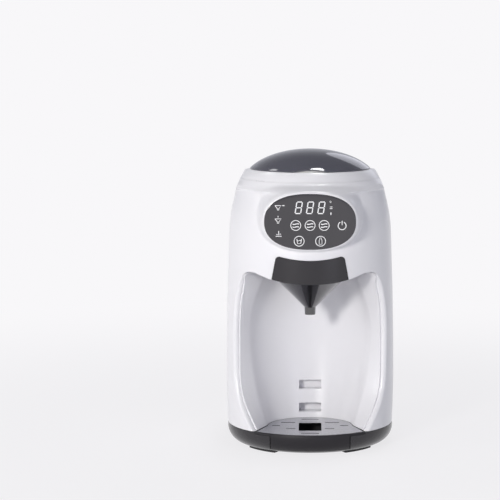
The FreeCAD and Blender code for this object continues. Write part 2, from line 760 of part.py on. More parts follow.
def make_stirrer_shaft():
    """Upright shaft through the container's floor with a hexagonal drive end."""
    shaft = rod(0, front_axis_y, container_floor_z - 1, dosing_top_z + 26, shaft_radius)
    dog = hexagon(0, front_axis_y, container_floor_z - 1 - dog_length, container_floor_z - 1, dog_flats)
    return fuse(shaft, dog)


def make_dosing_wheel():
    """Wheel whose pockets each carry one dose to the outlet."""
    wheel = rod(0, front_axis_y, dosing_low_z, dosing_top_z, dosing_wheel_radius)
    wheel = wheel.cut(rod(0, front_axis_y, 0, 400, shaft_radius + 0.02))
    for index in range(pocket_count):
        turn = 2 * math.pi * index / pocket_count
        x = outlet_offset * math.sin(turn)
        y = front_axis_y - outlet_offset * math.cos(turn)
        wheel = wheel.cut(rod(x, y, 0, 400, pocket_radius))
    return wheel


def make_mixing_wheel():
    """Hub with flat blades that keep the powder loose above the dosing wheel."""
    low = dosing_top_z + 0.2
    wheel = rod(0, front_axis_y, low, low + 20, mixing_hub_radius)
    for index in range(mixing_blade_count):
        blade = box(0, mixing_blade_length, -mixing_blade_thickness / 2, mixing_blade_thickness / 2,
                    low, low + mixing_blade_height)
        blade.rotate(Vec(0, 0, 0), UP, 45 + 360 * index / mixing_blade_count)
        blade.translate(Vec(0, front_axis_y, 0))
        wheel = wheel.fuse(blade)
    return wheel.removeSplitter().cut(rod(0, front_axis_y, 0, 400, shaft_radius + 0.02))


def make_gear_deck():
    """Plate under the container that carries the drive, with holes for the powder and water."""
    plate = body_inner.common(slab(deck_z, deck_z + deck_thickness))
    plate = plate.common(box(-80, 80, body_front_y + 18, 26, 0, 400))
    plate = plate.common(body_solid(wall + 0.5))
    plate = fuse(plate, rod(0, front_axis_y, deck_z - 3, gear_z - 0.6, bearing_radius + 3))
    plate = plate.cut(rod(0, front_axis_y, deck_z - 3.5, gear_z, bearing_radius + running_gap))
    plate = plate.cut(rod(0, outlet_y, 0, 400, outlet_radius + chute_wall + running_gap))
    plate = plate.cut(rod(nozzle_x, nozzle_y, 0, 400, nozzle_radius + running_gap))
    plate = plate.cut(rod(0, pinion_y, 0, 400, motor_shaft_radius + 1.5))
    for side in (-1, 1):
        plate = plate.cut(rod(side * motor_screw_offset, pinion_y, 0, 400, screw_radius + running_gap))
    for x, y in deck_screw_places:
        plate = plate.cut(rod(x, y, 0, 400, screw_radius + running_gap))
    return plate


def make_gear_bearing():
    """Plain bearing bush in the deck."""
    low = deck_z - 3
    return tube(0, front_axis_y, low, gear_z - 0.3, bearing_radius, 6.5 + running_gap)


def make_output_gear():
    """Large gear that turns the stirrer shaft through a hexagonal socket."""
    body = gear(output_teeth, gear_width, 5.0, 0, front_axis_y, gear_z, 90)
    hub = rod(0, front_axis_y, gear_z, container_floor_z - 3, 9)
    neck = rod(0, front_axis_y, deck_z - 2, gear_z + 1, 6.5)
    socket = hexagon(0, front_axis_y, container_floor_z - 1.3 - dog_length, 400, dog_flats + 0.4)
    solid = fuse(body, hub, neck)
    return solid.fuse(rod(0, front_axis_y, gear_z, gear_z + gear_width, 6)).removeSplitter().cut(socket)


def make_motor_pinion():
    """Small gear and its motor shaft."""
    phase = 90 + 180 / pinion_teeth
    body = gear(pinion_teeth, gear_width, 1.0, 0, pinion_y, gear_z, phase)
    shaft = rod(0, pinion_y, deck_z - 12, gear_z + gear_width + 2, motor_shaft_radius)
    return fuse(body, shaft)


def make_dosing_motor():
    """Small motor hung under the deck."""
    body = rod(0, pinion_y, deck_z - motor_length, deck_z - 0.1, motor_radius)
    cap = rod(0, pinion_y, deck_z - motor_length - 4, deck_z - motor_length, 6)
    tags = [box(side * 8 - 1, side * 8 + 1, pinion_y - 0.4, pinion_y + 0.4, deck_z - motor_length - 5,
                deck_z - motor_length + 1) for side in (-1, 1)]
    shaft_hole = rod(0, pinion_y, deck_z - 14, deck_z + 1, motor_shaft_radius + running_gap)
    solid = fuse(body, cap, *tags).cut(shaft_hole)
    for side in (-1, 1):
        solid = solid.cut(rod(side * motor_screw_offset, pinion_y, deck_z - 7, deck_z + 1, screw_radius))
    return solid


def make_powder_chute():
    """Short pipe from the container's outlet to the funnel."""
    low = head_floor_z + head_floor_thickness + fit_gap + carrier_thickness + funnel_flange + 2.5
    high = container_floor_z - fit_gap
    pipe = tube(0, outlet_y, low, high, outlet_radius + chute_wall, outlet_radius)
    collar = tube(0, outlet_y, deck_z + deck_thickness, deck_z + deck_thickness + 2,
                  outlet_radius + chute_wall + 2.4,
                  outlet_radius)
    return fuse(pipe, collar)


def make_water_nozzle():
    """Nozzle over the funnel where the warm water comes out."""
    low = head_floor_z + head_floor_thickness + fit_gap + carrier_thickness + funnel_flange + 3.0
    body = rod(nozzle_x, nozzle_y, low, deck_z + deck_thickness + 0.05, nozzle_radius)
    flange = rod(nozzle_x, nozzle_y, deck_z + deck_thickness + 0.05, deck_z + deck_thickness + 2,
                 nozzle_radius + 2)
    stub = rod(nozzle_x, nozzle_y, deck_z + deck_thickness + 1, deck_z + deck_thickness + 7, port_radius)
    return fuse(body, flange, stub).cut(rod(nozzle_x, nozzle_y, 0, 400, 1.5))


def make_funnel():
    """Black cone with a spout, an upright rim and a flange that hangs it in its carrier."""
    slope = funnel_radius - spout_radius
    cone_top = spout_top_z + slope
    flange_low = head_floor_z + head_floor_thickness + fit_gap + carrier_thickness + 0.1
    flange_top = flange_low + funnel_flange
    outer = [Vec(0, 0, spout_bottom_z), Vec(spout_tip_radius, 0, spout_bottom_z),
             Vec(spout_radius, 0, spout_top_z), Vec(funnel_radius, 0, cone_top),
             Vec(funnel_radius, 0, flange_low), Vec(funnel_flange_radius, 0, flange_low),
             Vec(funnel_flange_radius, 0, flange_top), Vec(0, 0, flange_top)]
    inner = [Vec(0, 0, spout_bottom_z - 1), Vec(spout_tip_radius - funnel_wall, 0, spout_bottom_z - 1),
             Vec(spout_radius - funnel_wall, 0, spout_top_z), Vec(funnel_radius - funnel_wall, 0, cone_top),
             Vec(funnel_radius - funnel_wall, 0, flange_top + 1), Vec(0, 0, flange_top + 1)]
    solids = []
    for points in (outer, inner):
        face = Part.Face(Part.makePolygon(points + [points[0]]))
        face.translate(Vec(0, funnel_y, 0))
        solids.append(face.revolve(Vec(0, funnel_y, 0), UP, 360))
    return solids[0].cut(solids[1])


def make_funnel_carrier():
    """Flat frame that the funnel hangs in and that slides in the head's rails."""
    low = head_floor_z + head_floor_thickness + fit_gap
    frame = box(-carrier_half_width, carrier_half_width, body_front_y + 6, carrier_back_y,
                low, low + carrier_thickness)
    frame = frame.cut(rod(0, funnel_y, 0, 400, funnel_radius + 0.4))
    return frame.common(body_solid(plate_thickness - plate_proud + 0.1))


def make_drawer_front():
    """Black curved plate that closes the drawer opening."""
    band = body_solid(-plate_proud).cut(body_solid(plate_thickness - plate_proud))
    plate = band.common(plate_prism(0.0, -200, front_axis_y - 50))
    low = head_floor_z + head_floor_thickness + fit_gap
    tabs = [box(x - 6, x + 6, body_front_y + 6, body_front_y + 18,
                low + carrier_thickness + 0.05, low + carrier_thickness + 2) for x in (-30, 30)]
    tabs = [tab.common(body_solid(plate_thickness - plate_proud - 0.5)) for tab in tabs]
    return fuse(plate, *tabs).cut(rod(0, funnel_y, 0, 400, funnel_flange_radius + 0.3))


def rim_room(inset):
    """The machine's outline round the tray's top, moved inwards by inset, across the seam above the base."""
    return base_solid(inset, foot_height).fuse(body_solid(inset).common(slab(base_top_z, 60)))


def make_drip_tray():
    """Black basin whose front closes the base, with a rim, a grille seat and a hook behind."""
    low = base_floor_top_z + fit_gap
    basin = prism(tray_plan(tray_half_width, -200), low, tray_top_z)
    front_limit = rim_room(0.0)
    basin = basin.common(front_limit)
    lip_plan = bay_section(tray_plan_station, -tray_lip_gap)
    lip = prism(lip_plan, tray_seat_z + fit_gap, tray_top_z).common(front_limit)
    inside_limit = rim_room(wall)
    cavity = prism(tray_plan(tray_half_width - tray_wall, -200), low + tray_wall, tray_top_z + 1)
    cavity = cavity.common(inside_limit)
    seat_plan = bay_section(tray_plan_station, -tray_lip_gap - grille_rim)
    seat = prism(seat_plan, tray_top_z - grille_thickness - 0.1, tray_top_z + 1)
    seat = seat.common(rim_room(grille_rim + 0.4))
    back = tray_plan_station[3] + tray_half_width
    hook = box(-hook_half_width, hook_half_width, back - 3, back + hook_length,
               low + 2, low + 2 + hook_thickness)
    return fuse(basin, lip, hook).cut(cavity).cut(seat)


def make_tray_grille():
    """Silvery plate with five rows of slits and a square hole."""
    plan = bay_section(tray_plan_station, -tray_lip_gap - grille_rim - 0.3)
    low = tray_top_z - grille_thickness
    plate = prism(plan, low, tray_top_z).common(rim_room(grille_rim + 0.8))
    for row_y, near, far in slit_rows:
        sides = (0,) if near == 0 else (-1, 1)
        for side in sides:
            x0 = -far if side == 0 else min(side * near, side * far)
            x1 = far if side == 0 else max(side * near, side * far)
            plate = plate.cut(box(x0, x1, row_y - slit_width / 2, row_y + slit_width / 2, 0, 60))
    half = grille_hole_width / 2
    return plate.cut(box(-half, half, grille_hole_front_y, grille_hole_back_y, 0, 60))


def panel_part(inset, y0, y1):
    """Prism in the outline of the control panel, moved inwards by inset."""
    return front_prism(superellipse(panel_half_width - inset, panel_half_height - inset, 0), y0, y1)


def make_control_panel():
    """Glossy dark lens set into the pod."""
    return panel_part(0.0, pod_face_y, pod_face_y + panel_thickness - 0.05)


display_low_y = pod_face_y + panel_thickness + 0.2
board_front_y = pod_face_y + panel_thickness + 3.4


def make_display_module():
    """Three-digit display block."""
    return box(-25, 15, display_low_y, board_front_y, panel_z + 6, panel_z + 23)


def make_touch_springs():
    """Contact springs under the touch places, as short rings."""
    places = ((-20, -5), (-5, -5), (10, -5), (30, -5), (-16, -21), (8, -21))
    rings = []
    for x, z in places:
        foot = Vec(x, display_low_y, panel_z + z)
        outer = Part.makeCylinder(4.0, board_front_y - display_low_y, foot, Vec(0, 1, 0))
        inner = Part.makeCylinder(3.2, 20, Vec(x, display_low_y - 5, panel_z + z), Vec(0, 1, 0))
        rings.append(outer.cut(inner))
    return Part.makeCompound(rings)


def make_panel_board():
    """Circuit board behind the control panel, with its connector."""
    board = panel_part(4.5, board_front_y, board_front_y + board_thickness)
    plug = box(-38, -28, board_front_y + 1, board_front_y + 7, panel_z - 4, panel_z + 4)
    return fuse(board, plug)


tank_inner = body_solid(tank_wall)


def make_water_tank():
    """Smoked tank at the rear with a valve hole and a float post in its floor."""
    room = box(-200, 200, tank_front_y, 200, tank_bottom_z, tank_top_z)
    outer = body_outer.common(room)
    hollow = tank_inner.common(box(-200, 200, tank_front_y + tank_wall, 200,
                                   tank_bottom_z + tank_wall, tank_top_z + 1))
    post_top_z = tank_bottom_z + tank_wall + float_height + float_travel + 8
    post = rod(float_x, float_y, tank_bottom_z + 1, post_top_z, float_post_radius)
    solid = fuse(outer.cut(hollow), post)
    return solid.cut(rod(0, valve_y, 0, tank_bottom_z + 10, valve_radius - 2))


def make_tank_lid():
    """White lid of the tank, with a skirt inside its rim and a finger recess on top."""
    room = box(-200, 200, tank_front_y, 200, tank_top_z + fit_gap, tank_lid_top_z)
    outer = body_outer.common(room).cut(above_slope(0.0))
    hollow = tank_inner.common(box(-200, 200, tank_front_y + tank_wall, 200, 0, tank_lid_top_z - wall))
    hollow = hollow.cut(above_slope(wall))
    skirt_room = box(-200, 200, tank_front_y + tank_wall + 0.4, 200, tank_top_z - 6, tank_top_z + 3)
    skirt_outer = body_solid(tank_wall + 0.4).common(skirt_room)
    skirt_inner = body_solid(tank_wall + 2.4)
    skirt_inner = skirt_inner.common(box(-200, 200, tank_front_y + tank_wall + 2.4, 200, 0, 400))
    seat = body_solid(1.0).common(box(-200, 200, tank_front_y + 1, 200, tank_top_z + fit_gap, tank_top_z + 3))
    skirt = fuse(skirt_outer, seat).cut(skirt_inner)
    recess = box(-22, 22, tank_front_y + 12, tank_front_y + 30, 0, 400).common(above_slope(1.4))
    return fuse(outer.cut(hollow), skirt).cut(recess)


def make_valve_body():
    """Valve seat screwed into the tank's floor."""
    top = rod(0, valve_y, tank_bottom_z + tank_wall + 0.1, tank_bottom_z + tank_wall + 3, valve_radius)
    neck = rod(0, valve_y, tank_bottom_z - 6, tank_bottom_z + tank_wall + 1, valve_radius - 2.1)
    return fuse(top, neck).cut(rod(0, valve_y, 0, 100, valve_bore))


def make_valve_poppet():
    """Sprung poppet that closes the tank's valve from above."""
    seat_z = tank_bottom_z + tank_wall + 3 + 0.3
    head = rod(0, valve_y, seat_z, seat_z + 2.5, valve_bore + 2)
    stem = rod(0, valve_y, tank_bottom_z - 5, seat_z + 1, 1.8)
    return fuse(head, stem)


def make_tank_socket():
    """Socket in the shelf that the valve plugs into, with a hose stub forwards."""
    top = shelf_top_z + 0.05
    rim = rod(0, valve_y, top, top + 1.5, socket_radius)
    cup = rod(0, valve_y, 25.5, top + 1, socket_radius - 4.1)
    hollow = rod(0, valve_y, 28, top + 5, valve_radius - 1.6)
    stub = lying_rod(Vec(0, valve_y - 8, 30), Vec(0, housing_back_y + 4, 30), port_radius)
    pin = rod(0, valve_y, 27, tank_bottom_z - 5.3, 1.5)
    solid = fuse(fuse(rim, cup, stub).cut(hollow), pin)
    return solid.cut(lying_rod(Vec(0, valve_y - 6, 30), Vec(0, housing_back_y, 30), 1.5))


def make_tank_float():
    """Float that rises with the water on its post."""
    low = tank_bottom_z + tank_wall + 0.4
    return tube(float_x, float_y, low, low + float_height, float_radius, float_post_radius + 0.3)


def make_pump_motor():
    """Motor of the water pump, below the pump's head."""
    return rod(pump_x, pump_y, pump_z - pump_motor_length, pump_z - 0.1, pump_motor_radius).cut(
        rod(pump_x, pump_y, pump_z - 12, pump_z + 1, 1.5 + running_gap))


def make_pump_head():
    """Round pump chamber with an inlet on top and an outlet at its side."""
    high = pump_z + pump_head_height
    body = rod(pump_x, pump_y, pump_z, high, pump_head_radius)
    inlet = rod(pump_x, pump_y, high - 1, high + 8, port_radius)
    outlet_z = pump_z + 8
    outlet = lying_rod(Vec(pump_x - 14, pump_y, outlet_z), Vec(pump_x - 25, pump_y, outlet_z), port_radius)
    chamber = rod(pump_x, pump_y, pump_z + 3, high - 3, impeller_radius + 1.5)
    solid = fuse(body, inlet, outlet).cut(chamber)
    solid = solid.cut(rod(pump_x, pump_y, pump_z - 1, pump_z + 5, 1.5 + running_gap))
    solid = solid.cut(rod(pump_x, pump_y, high - 5, high + 10, 1.5))
    return solid.cut(lying_rod(Vec(pump_x - 8, pump_y, outlet_z), Vec(pump_x - 30, pump_y, outlet_z), 1.5))


def make_pump_impeller():
    """Bladed wheel inside the pump on the motor's shaft."""
    disc = rod(pump_x, pump_y, pump_z + 3.5, pump_z + 5, impeller_radius)
    shaft = rod(pump_x, pump_y, pump_z - 11, pump_z + 6, 1.5)
    wheel = fuse(disc, shaft, rod(pump_x, pump_y, pump_z + 4, pump_z + 10, 3))
    for index in range(6):
        blade = box(2, impeller_radius, -0.6, 0.6, pump_z + 4, pump_z + 10)
        blade.rotate(Vec(0, 0, 0), UP, 60 * index)
        blade.translate(Vec(pump_x, pump_y, 0))
        wheel = wheel.fuse(blade)
    return wheel.removeSplitter()


def make_heater():
    """Flow heater: a sheathed tube with a port at each end."""
    top = heater_z + heater_length
    body = rod(heater_x, heater_y, heater_z, top, heater_radius)
    ports = [rod(heater_x, heater_y, heater_z - 8, heater_z + 1, port_radius),
             rod(heater_x, heater_y, top - 1, top + 8, port_radius)]
    ribs = [rod(heater_x, heater_y, heater_z + 14 + 20 * k, heater_z + 17 + 20 * k, heater_radius + 1.2)
            for k in range(4)]
    return fuse(body, *ports, *ribs).cut(rod(heater_x, heater_y, heater_z - 10, top + 10, 1.5))


def make_heater_bracket():
    """Two clips that hold the heater to the rear wall."""
    clips = []
    for low in (heater_z + 24, heater_z + 64):
        ring = tube(heater_x, heater_y, low, low + 8, heater_radius + 2, heater_radius + 0.1)
        arm_y = heater_y + heater_radius + 1
        arm = box(heater_x - 6, heater_x + 6, arm_y, housing_back_y - wall, low, low + 8)
        clips.append(fuse(ring, arm))
    return Part.makeCompound(clips)


def make_pump_bracket():
    """Clip that holds the pump to the rear wall."""
    ring = tube(pump_x, pump_y, pump_z - 22, pump_z - 12, pump_motor_radius + 2.2, pump_motor_radius + 0.1)
    arm_y = pump_y + pump_motor_radius + 1
    arm = box(pump_x - 6, pump_x + 6, arm_y, housing_back_y - wall, pump_z - 22, pump_z - 12)
    return fuse(ring, arm)


def make_inlet_hose():
    """Hose from the tank's socket up to the pump's inlet."""
    high = pump_z + pump_head_height
    points = [Vec(0, housing_back_y + 6.5, 30), Vec(0, 44, 30), Vec(0, 44, high + 20),
              Vec(pump_x, pump_y, high + 20),
              Vec(pump_x, pump_y, high + 2)]
    return hose(points, 7.5)


def make_heater_hose():
    """Hose from the pump's outlet to the heater's lower port."""
    points = [Vec(pump_x - 19, pump_y, pump_z + 8),
              Vec(-4, pump_y, pump_z + 8), Vec(-4, pump_y, heater_z - 24),
              Vec(heater_x, heater_y, heater_z - 24), Vec(heater_x, heater_y, heater_z - 2)]
    return hose(points, 7.5)


def make_nozzle_hose():
    """Hose from the heater's upper port to the water nozzle."""
    top = heater_z + heater_length
    high = deck_z + deck_thickness + 12
    points = [Vec(heater_x, heater_y, top + 2), Vec(heater_x, heater_y, top + 24), Vec(-52, 38, top + 40),
              Vec(-52, 38, high), Vec(-54, -20, high),
              Vec(-50, nozzle_y - 2, high), Vec(nozzle_x, nozzle_y, high),
              Vec(nozzle_x, nozzle_y, deck_z + deck_thickness + 2.2)]
    return hose(points, 5.0)


def make_main_board():
    """Main circuit board on the rear wall, with its relay, transformer and connectors."""
    y1 = housing_back_y - wall - 4
    y0 = y1 - board_thickness
    board = box(-30, 60, y0, y1, 150, 206)
    relay = box(-22, -4, y0 - 12, y0, 158, 172)
    transformer = box(6, 34, y0 - 20, y0, 156, 182)
    sockets = [box(x, x + 8, y0 - 7, y0, 189, 197) for x in (-24, -8, 8, 24, 40)]
    posts = [Part.makeCylinder(3, 4, Vec(x, y1, z), Vec(0, 1, 0)) for x, z in board_post_places]
    solid = fuse(board, relay, transformer, *sockets)
    for post in posts:
        solid = solid.fuse(post)
    for x, z in board_post_places:
        solid = solid.cut(Part.makeCylinder(screw_radius, 40, Vec(x, y0 - 10, z), Vec(0, 1, 0)))
    return solid.removeSplitter()


board_post_places = ((-26, 154), (56, 154), (-26, 202), (56, 202))


def make_board_screws():
    """Screws through the main board."""
    y0 = housing_back_y - wall - 4 - board_thickness
    return Part.makeCompound([screw(x, y0, z, 5, Vec(0, 1, 0)) for x, z in board_post_places])


def make_base_screws():
    """Screws up through the base into the casings' bosses."""
    seat = foot_height + screw_head_height + 1.0
    return Part.makeCompound([screw(x, y, seat, base_top_z + 9 - seat, UP) for x, y in base_screw_places])


def make_deck_screws():
    """Screws down through the gear deck into the casing's bosses."""
    top = deck_z + deck_thickness
    return Part.makeCompound([screw(x, y, top, 8, UP * -1) for x, y in deck_screw_places])


def make_motor_screws():
    """Screws down through the gear deck into the motor."""
    top = deck_z + deck_thickness
    places = (-motor_screw_offset, motor_screw_offset)
    return Part.makeCompound([screw(place, pinion_y, top, 7, UP * -1) for place in places])


def make_level_sensor():
    """Small sensor board behind the rear wall, level with the tank's float."""
    rear_wall_y = housing_back_y - wall
    return box(float_x - 8, float_x + 8, rear_wall_y - board_thickness, rear_wall_y, 50, 68)


def make_funnel_sensor():
    """Small switch over the rear end of the drawer that feels whether it is shut."""
    return box(24, 36, -31, -23, deck_z - 7, deck_z)


pieces = {
    "base": make_base,
    "feet": make_feet,
    "cord_gland": make_cord_gland,
    "front_casing": make_front_casing,
    "bay_liner": make_bay_liner,
    "head_floor": make_head_floor,
    "rear_casing": make_rear_casing,
    "top_collar": make_top_collar,
    "control_panel": make_control_panel,
    "display_module": make_display_module,
    "touch_springs": make_touch_springs,
    "panel_board": make_panel_board,
    "powder_container": make_powder_container,
    "lid_hinge_pin": make_hinge_pin,
    "dome_lid": make_dome_lid,
    "lid_seal": make_lid_seal,
    "stirrer_shaft": make_stirrer_shaft,
    "dosing_wheel": make_dosing_wheel,
    "mixing_wheel": make_mixing_wheel,
    "gear_deck": make_gear_deck,
    "gear_bearing": make_gear_bearing,
    "output_gear": make_output_gear,
    "motor_pinion": make_motor_pinion,
    "dosing_motor": make_dosing_motor,
    "powder_chute": make_powder_chute,
    "water_nozzle": make_water_nozzle,
    "funnel": make_funnel,
    "funnel_carrier": make_funnel_carrier,
    "drawer_front": make_drawer_front,
    "drip_tray": make_drip_tray,
    "tray_grille": make_tray_grille,
    "water_tank": make_water_tank,
    "tank_lid": make_tank_lid,
    "valve_body": make_valve_body,
    "valve_poppet": make_valve_poppet,
    "tank_socket": make_tank_socket,
    "tank_float": make_tank_float,
    "level_sensor": make_level_sensor,
    "funnel_sensor": make_funnel_sensor,
    "pump_motor": make_pump_motor,
    "pump_head": make_pump_head,
    "pump_impeller": make_pump_impeller,
    "pump_bracket": make_pump_bracket,
    "heater": make_heater,
    "heater_brackets": make_heater_bracket,
    "inlet_hose": make_inlet_hose,
    "heater_hose": make_heater_hose,
    "nozzle_hose": make_nozzle_hose,
    "main_board": make_main_board,
    "board_screws": make_board_screws,
    "base_screws": make_base_screws,
    "deck_screws": make_deck_screws,
    "motor_screws": make_motor_screws,
}

os.makedirs("parts", exist_ok=True)
for name, make in pieces.items():
    shape = make()
    box_of = shape.optimalBoundingBox(False, False)
    print("%-18s solids %d valid %s volume %.0f  x %.1f %.1f  y %.1f %.1f  z %.1f %.1f" % (
        name, len(shape.Solids), shape.isValid(), shape.Volume, box_of.XMin, box_of.XMax,
        box_of.YMin, box_of.YMax, box_of.ZMin, box_of.ZMax))
    shape.exportStep("parts/" + name + ".step")
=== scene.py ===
import math

import bpy
import numpy as np
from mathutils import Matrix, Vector


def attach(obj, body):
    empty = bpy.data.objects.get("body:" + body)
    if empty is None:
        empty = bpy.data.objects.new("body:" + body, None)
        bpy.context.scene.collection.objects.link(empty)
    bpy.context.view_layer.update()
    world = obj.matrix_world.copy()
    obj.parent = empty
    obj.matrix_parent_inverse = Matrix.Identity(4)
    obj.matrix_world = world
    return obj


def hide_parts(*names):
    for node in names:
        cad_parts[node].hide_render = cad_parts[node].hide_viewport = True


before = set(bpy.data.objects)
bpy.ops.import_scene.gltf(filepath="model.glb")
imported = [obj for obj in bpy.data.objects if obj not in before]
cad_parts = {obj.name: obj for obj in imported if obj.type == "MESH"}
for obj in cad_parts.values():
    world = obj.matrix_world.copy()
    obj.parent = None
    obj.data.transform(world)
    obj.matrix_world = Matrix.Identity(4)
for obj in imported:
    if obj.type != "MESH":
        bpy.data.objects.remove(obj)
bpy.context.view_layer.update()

bl_info = {
    "name": "Baby formula maker",
    "version": (1, 0, 0),
    "blender": (4, 5, 0),
    "location": "View3D > Sidebar > Formula maker",
    "description": "Dresses the formula maker's frame with its finished surfaces",
    "category": "Object",
}

MM = 0.001

# The photograph's frame and the camera that it was taken with, in pixels and millimetres
IMAGE_PX = 500.0
CENTRE_LINE_PX = 310.1
AIM_ROW_PX = 295.2
FOCAL_PX = 2084.7
SENSOR_MM = 36.0
CAMERA_MM = (0.0, -2385.0, 498.0)
CAMERA_PITCH_DEG = 7.99

# Body outline: a stadium plan whose round ends have this radius less an inset at each height, in millimetres
BODY_RADIUS = 95.0
FRONT_AXIS_Y = -35.0
OUTLINE_Z = np.array([24.0, 70.0, 110.0, 165.0, 230.0, 262.0, 284.0, 302.0, 313.0])
OUTLINE_INSET = np.array([1.3, 0.0, 0.1, 1.0, 3.0, 5.3, 10.0, 16.8, 26.0])
BASE_TOP_Z = 24.0
COLLAR_SEAM_Z = 303.0
CASING_SPLIT_Y = 8.0
SHELL_RIM = 1.2
SEAM_GAP = 0.25

# Bay: height, half width of the front edge, half width and depth of the crease, depth of the back
BAY_Z = np.array([24.0, 60.0, 100.0, 145.0, 180.0, 216.0])
BAY_EDGE_X = np.array([62.0, 79.5, 83.5, 83.3, 79.5, 69.0])
BAY_CREASE_X = np.array([50.0, 60.5, 67.5, 68.5, 59.0, 43.0])
BAY_CREASE_Y = np.array([-72.0, -66.0, -62.0, -60.0, -62.0, -66.0])
BAY_BACK_Y = np.array([-22.0, -17.0, -13.0, -12.0, -14.0, -20.0])
BAY_WALL = 2.2

# Round of the bay's edge, which shrinks to nothing over the fade below the upper corner
BAY_EDGE_RADIUS = 4.5
BAY_EDGE_FADE = 16.0

# Head's lower edge: level over the flat half width, then rising towards the sides
HEAD_FLOOR_Z = 196.5
HEAD_FLOOR_FLAT = 44.0
HEAD_FLOOR_RISE = 0.34

# Bay's upper corner: an arc about this centre, from the upright edge to where its slope meets the head's edge
CORNER_ROUND = 10.0
CORNER_X = 65.9
CORNER_Z = 193.3
CORNER_MEETS_EDGE = 0.32 * CORNER_ROUND
BAY_CORNER_Z = CORNER_Z + CORNER_ROUND

# Two slots in the bay's back wall
SLOT_COUNT = 2
SLOT_WIDTH = 25.5
SLOT_HEIGHT = 10.2
SLOT_LOW_Z = 31.1
SLOT_PITCH = 26.0
SLOT_BACK_Y = -8.0

# Top of the tray's grille, and how far down its silver lacquer reaches
GRILLE_TOP_Z = 24.6
LACQUER_DEPTH = 0.05

# Drawer plate's front outline: heights and half widths of its top and bottom, its upper corners' round, how
# much wider the round ends, how far both edges bow down, and the gap to the shell
DRAWER_TOP_Z = 222.5
DRAWER_LOW_Z = 197.0
DRAWER_TOP_X = 37.2
DRAWER_LOW_X = 42.3
DRAWER_ROUND = 4.0
DRAWER_SLANT = 0.8
DRAWER_TOP_BOW = 4.0
DRAWER_LOW_BOW = 4.6
DRAWER_GAP = 0.35

# Control pod and lens: the pod's face is set back from the lens's, and its wall falls back by the slope for
# each millimetre outwards
PANEL_Z = 262.0
PANEL_HALF_WIDTH = 50.0
PANEL_HALF_HEIGHT = 30.6
PANEL_POWER = 2.35
POD_RIM = 2.2
POD_FACE_Y = -131.5
POD_SET_BACK = 0.15
POD_LEAST_SET_BACK = 0.1
POD_RIM_SOFTNESS = 1.0
POD_SLOPE = 6.5
POD_TOP_SLOPE = 2.2
POD_FADE = 7.0
# Valley between pod and body: its width as a share of how far the body lies back, and its least width
VALLEY_SHARE = 0.8
VALLEY_LEAST = 0.5
LENS_THICKNESS = 1.8

# Lid: a quarter ellipse about the front axis, whose rim's radius is a share of its half width
DOME_Z = 293.0
DOME_HALF_WIDTH = 78.0
DOME_HALF_HEIGHT = 42.0
DOME_WALL = 2.2
LID_LOW_Z = 313.3
LID_RIM_SHARE = 0.87
NOTCH_HALF_WIDTH = 19.5
NOTCH_HEIGHT = 2.2

# Marks printed on the lens, as x and z: columns and rows of the display digits and of the touch places
DIGIT_X = (-12.3, 0.0, 12.3)
DIGIT_Z = 277.5
MIDDLE_X = (-15.6, 0.0, 15.3)
MIDDLE_Z = 258.2
LOW_X = (-11.9, 11.4)
LOW_Z = 241.0
# Rings: middle, radius and line width, and the degrees at which an open one starts and ends
RINGS = [(x, MIDDLE_Z, 5.4, 0.75) for x in MIDDLE_X] + [(x, LOW_Z, 5.4, 0.75) for x in LOW_X] + [
    (22.2, 284.0, 0.8, 0.4),                    # degree sign
    (34.8, 257.9, 4.3, 0.9, 118.0, 422.0),      # power sign
]
# Bars: both ends and line width
BARS = (
    ((34.8, 258.6), (34.8, 263.2), 0.9),        # power sign
    ((21.4, 276.6), (24.2, 276.6), 0.7),        # unit marks beside the digits
    ((21.4, 278.4), (24.2, 278.4), 0.7),
    ((22.6, 269.6), (22.6, 272.4), 1.1),
    ((-30.2, 279.9), (-27.8, 279.9), 0.9),      # dash of the upper funnel
    ((-34.8, 266.9), (-34.8, 268.6), 0.8),      # drop over the lower funnel
    ((-37.4, 246.4), (-31.0, 246.4), 0.9),      # tray with its jet
    ((-34.2, 247.6), (-34.2, 252.2), 0.8),
)
# Waves: middle, length, height and line width
WAVES = [(x, MIDDLE_Z + lift, 7.0, 0.35, 1.0) for x in MIDDLE_X for lift in (1.5, -1.7)] + [
    (-11.9, 241.6, 3.8, 0.3, 0.6),              # level in the cup
    (-34.2, 248.6, 5.2, 0.3, 0.6),              # water in the tray
]
# Outlines: middle, points about it and line width
CUP = ((-2.5, 2.6), (-1.8, -2.6), (1.8, -2.6), (2.5, 2.6))
BOTTLE = ((-1.5, -3.4), (-1.5, 1.2), (-0.8, 2.2), (-0.8, 3.6), (0.8, 3.6), (0.8, 2.2), (1.5, 1.2),
          (1.5, -3.4), (-1.5, -3.4))
FUNNEL = ((-3.4, 2.2), (3.4, 2.2), (0.8, -1.0), (0.8, -2.6), (-0.8, -2.6), (-0.8, -1.0), (-3.4, 2.2))
OUTLINES = (
    (-11.9, LOW_Z, CUP, 0.75),
    (11.4, LOW_Z, BOTTLE, 0.6),
    (-34.8, 277.7, FUNNEL, 0.75),
    (-34.8, 263.2, FUNNEL, 0.75),
)

# Soft round lamps: name, place and width in metres, power in watts, colour; and the point that they face
LAMPS = (
    ("key", (-2.0, -4.4, 1.4), 0.9, 116.0, "#fffdf8"),
    ("left", (-4.4, -1.4, 1.6), 2.6, 40.0, "#fffefc"),
    ("right", (2.4, -4.2, 1.0), 2.4, 16.0, "#eceeff"),
    ("top", (0.3, 0.28, 3.0), 0.6, 12.0, "#ffffff"),
    ("rear_left", (-1.3, 0.83, 2.2), 0.5, 2.0, "#ffffff"),
    ("rear_right", (1.0, 2.6, 1.45), 1.6, 5.5, "#f4f4ff"),
)
LAMP_AIM = (0.0, 0.0, 0.17)

# Backdrop: half width of the floor in millimetres, and the white that floor and surroundings share
FLOOR_HALF = 30000.0
BACKDROP_COLOUR = "#f8f7f9"

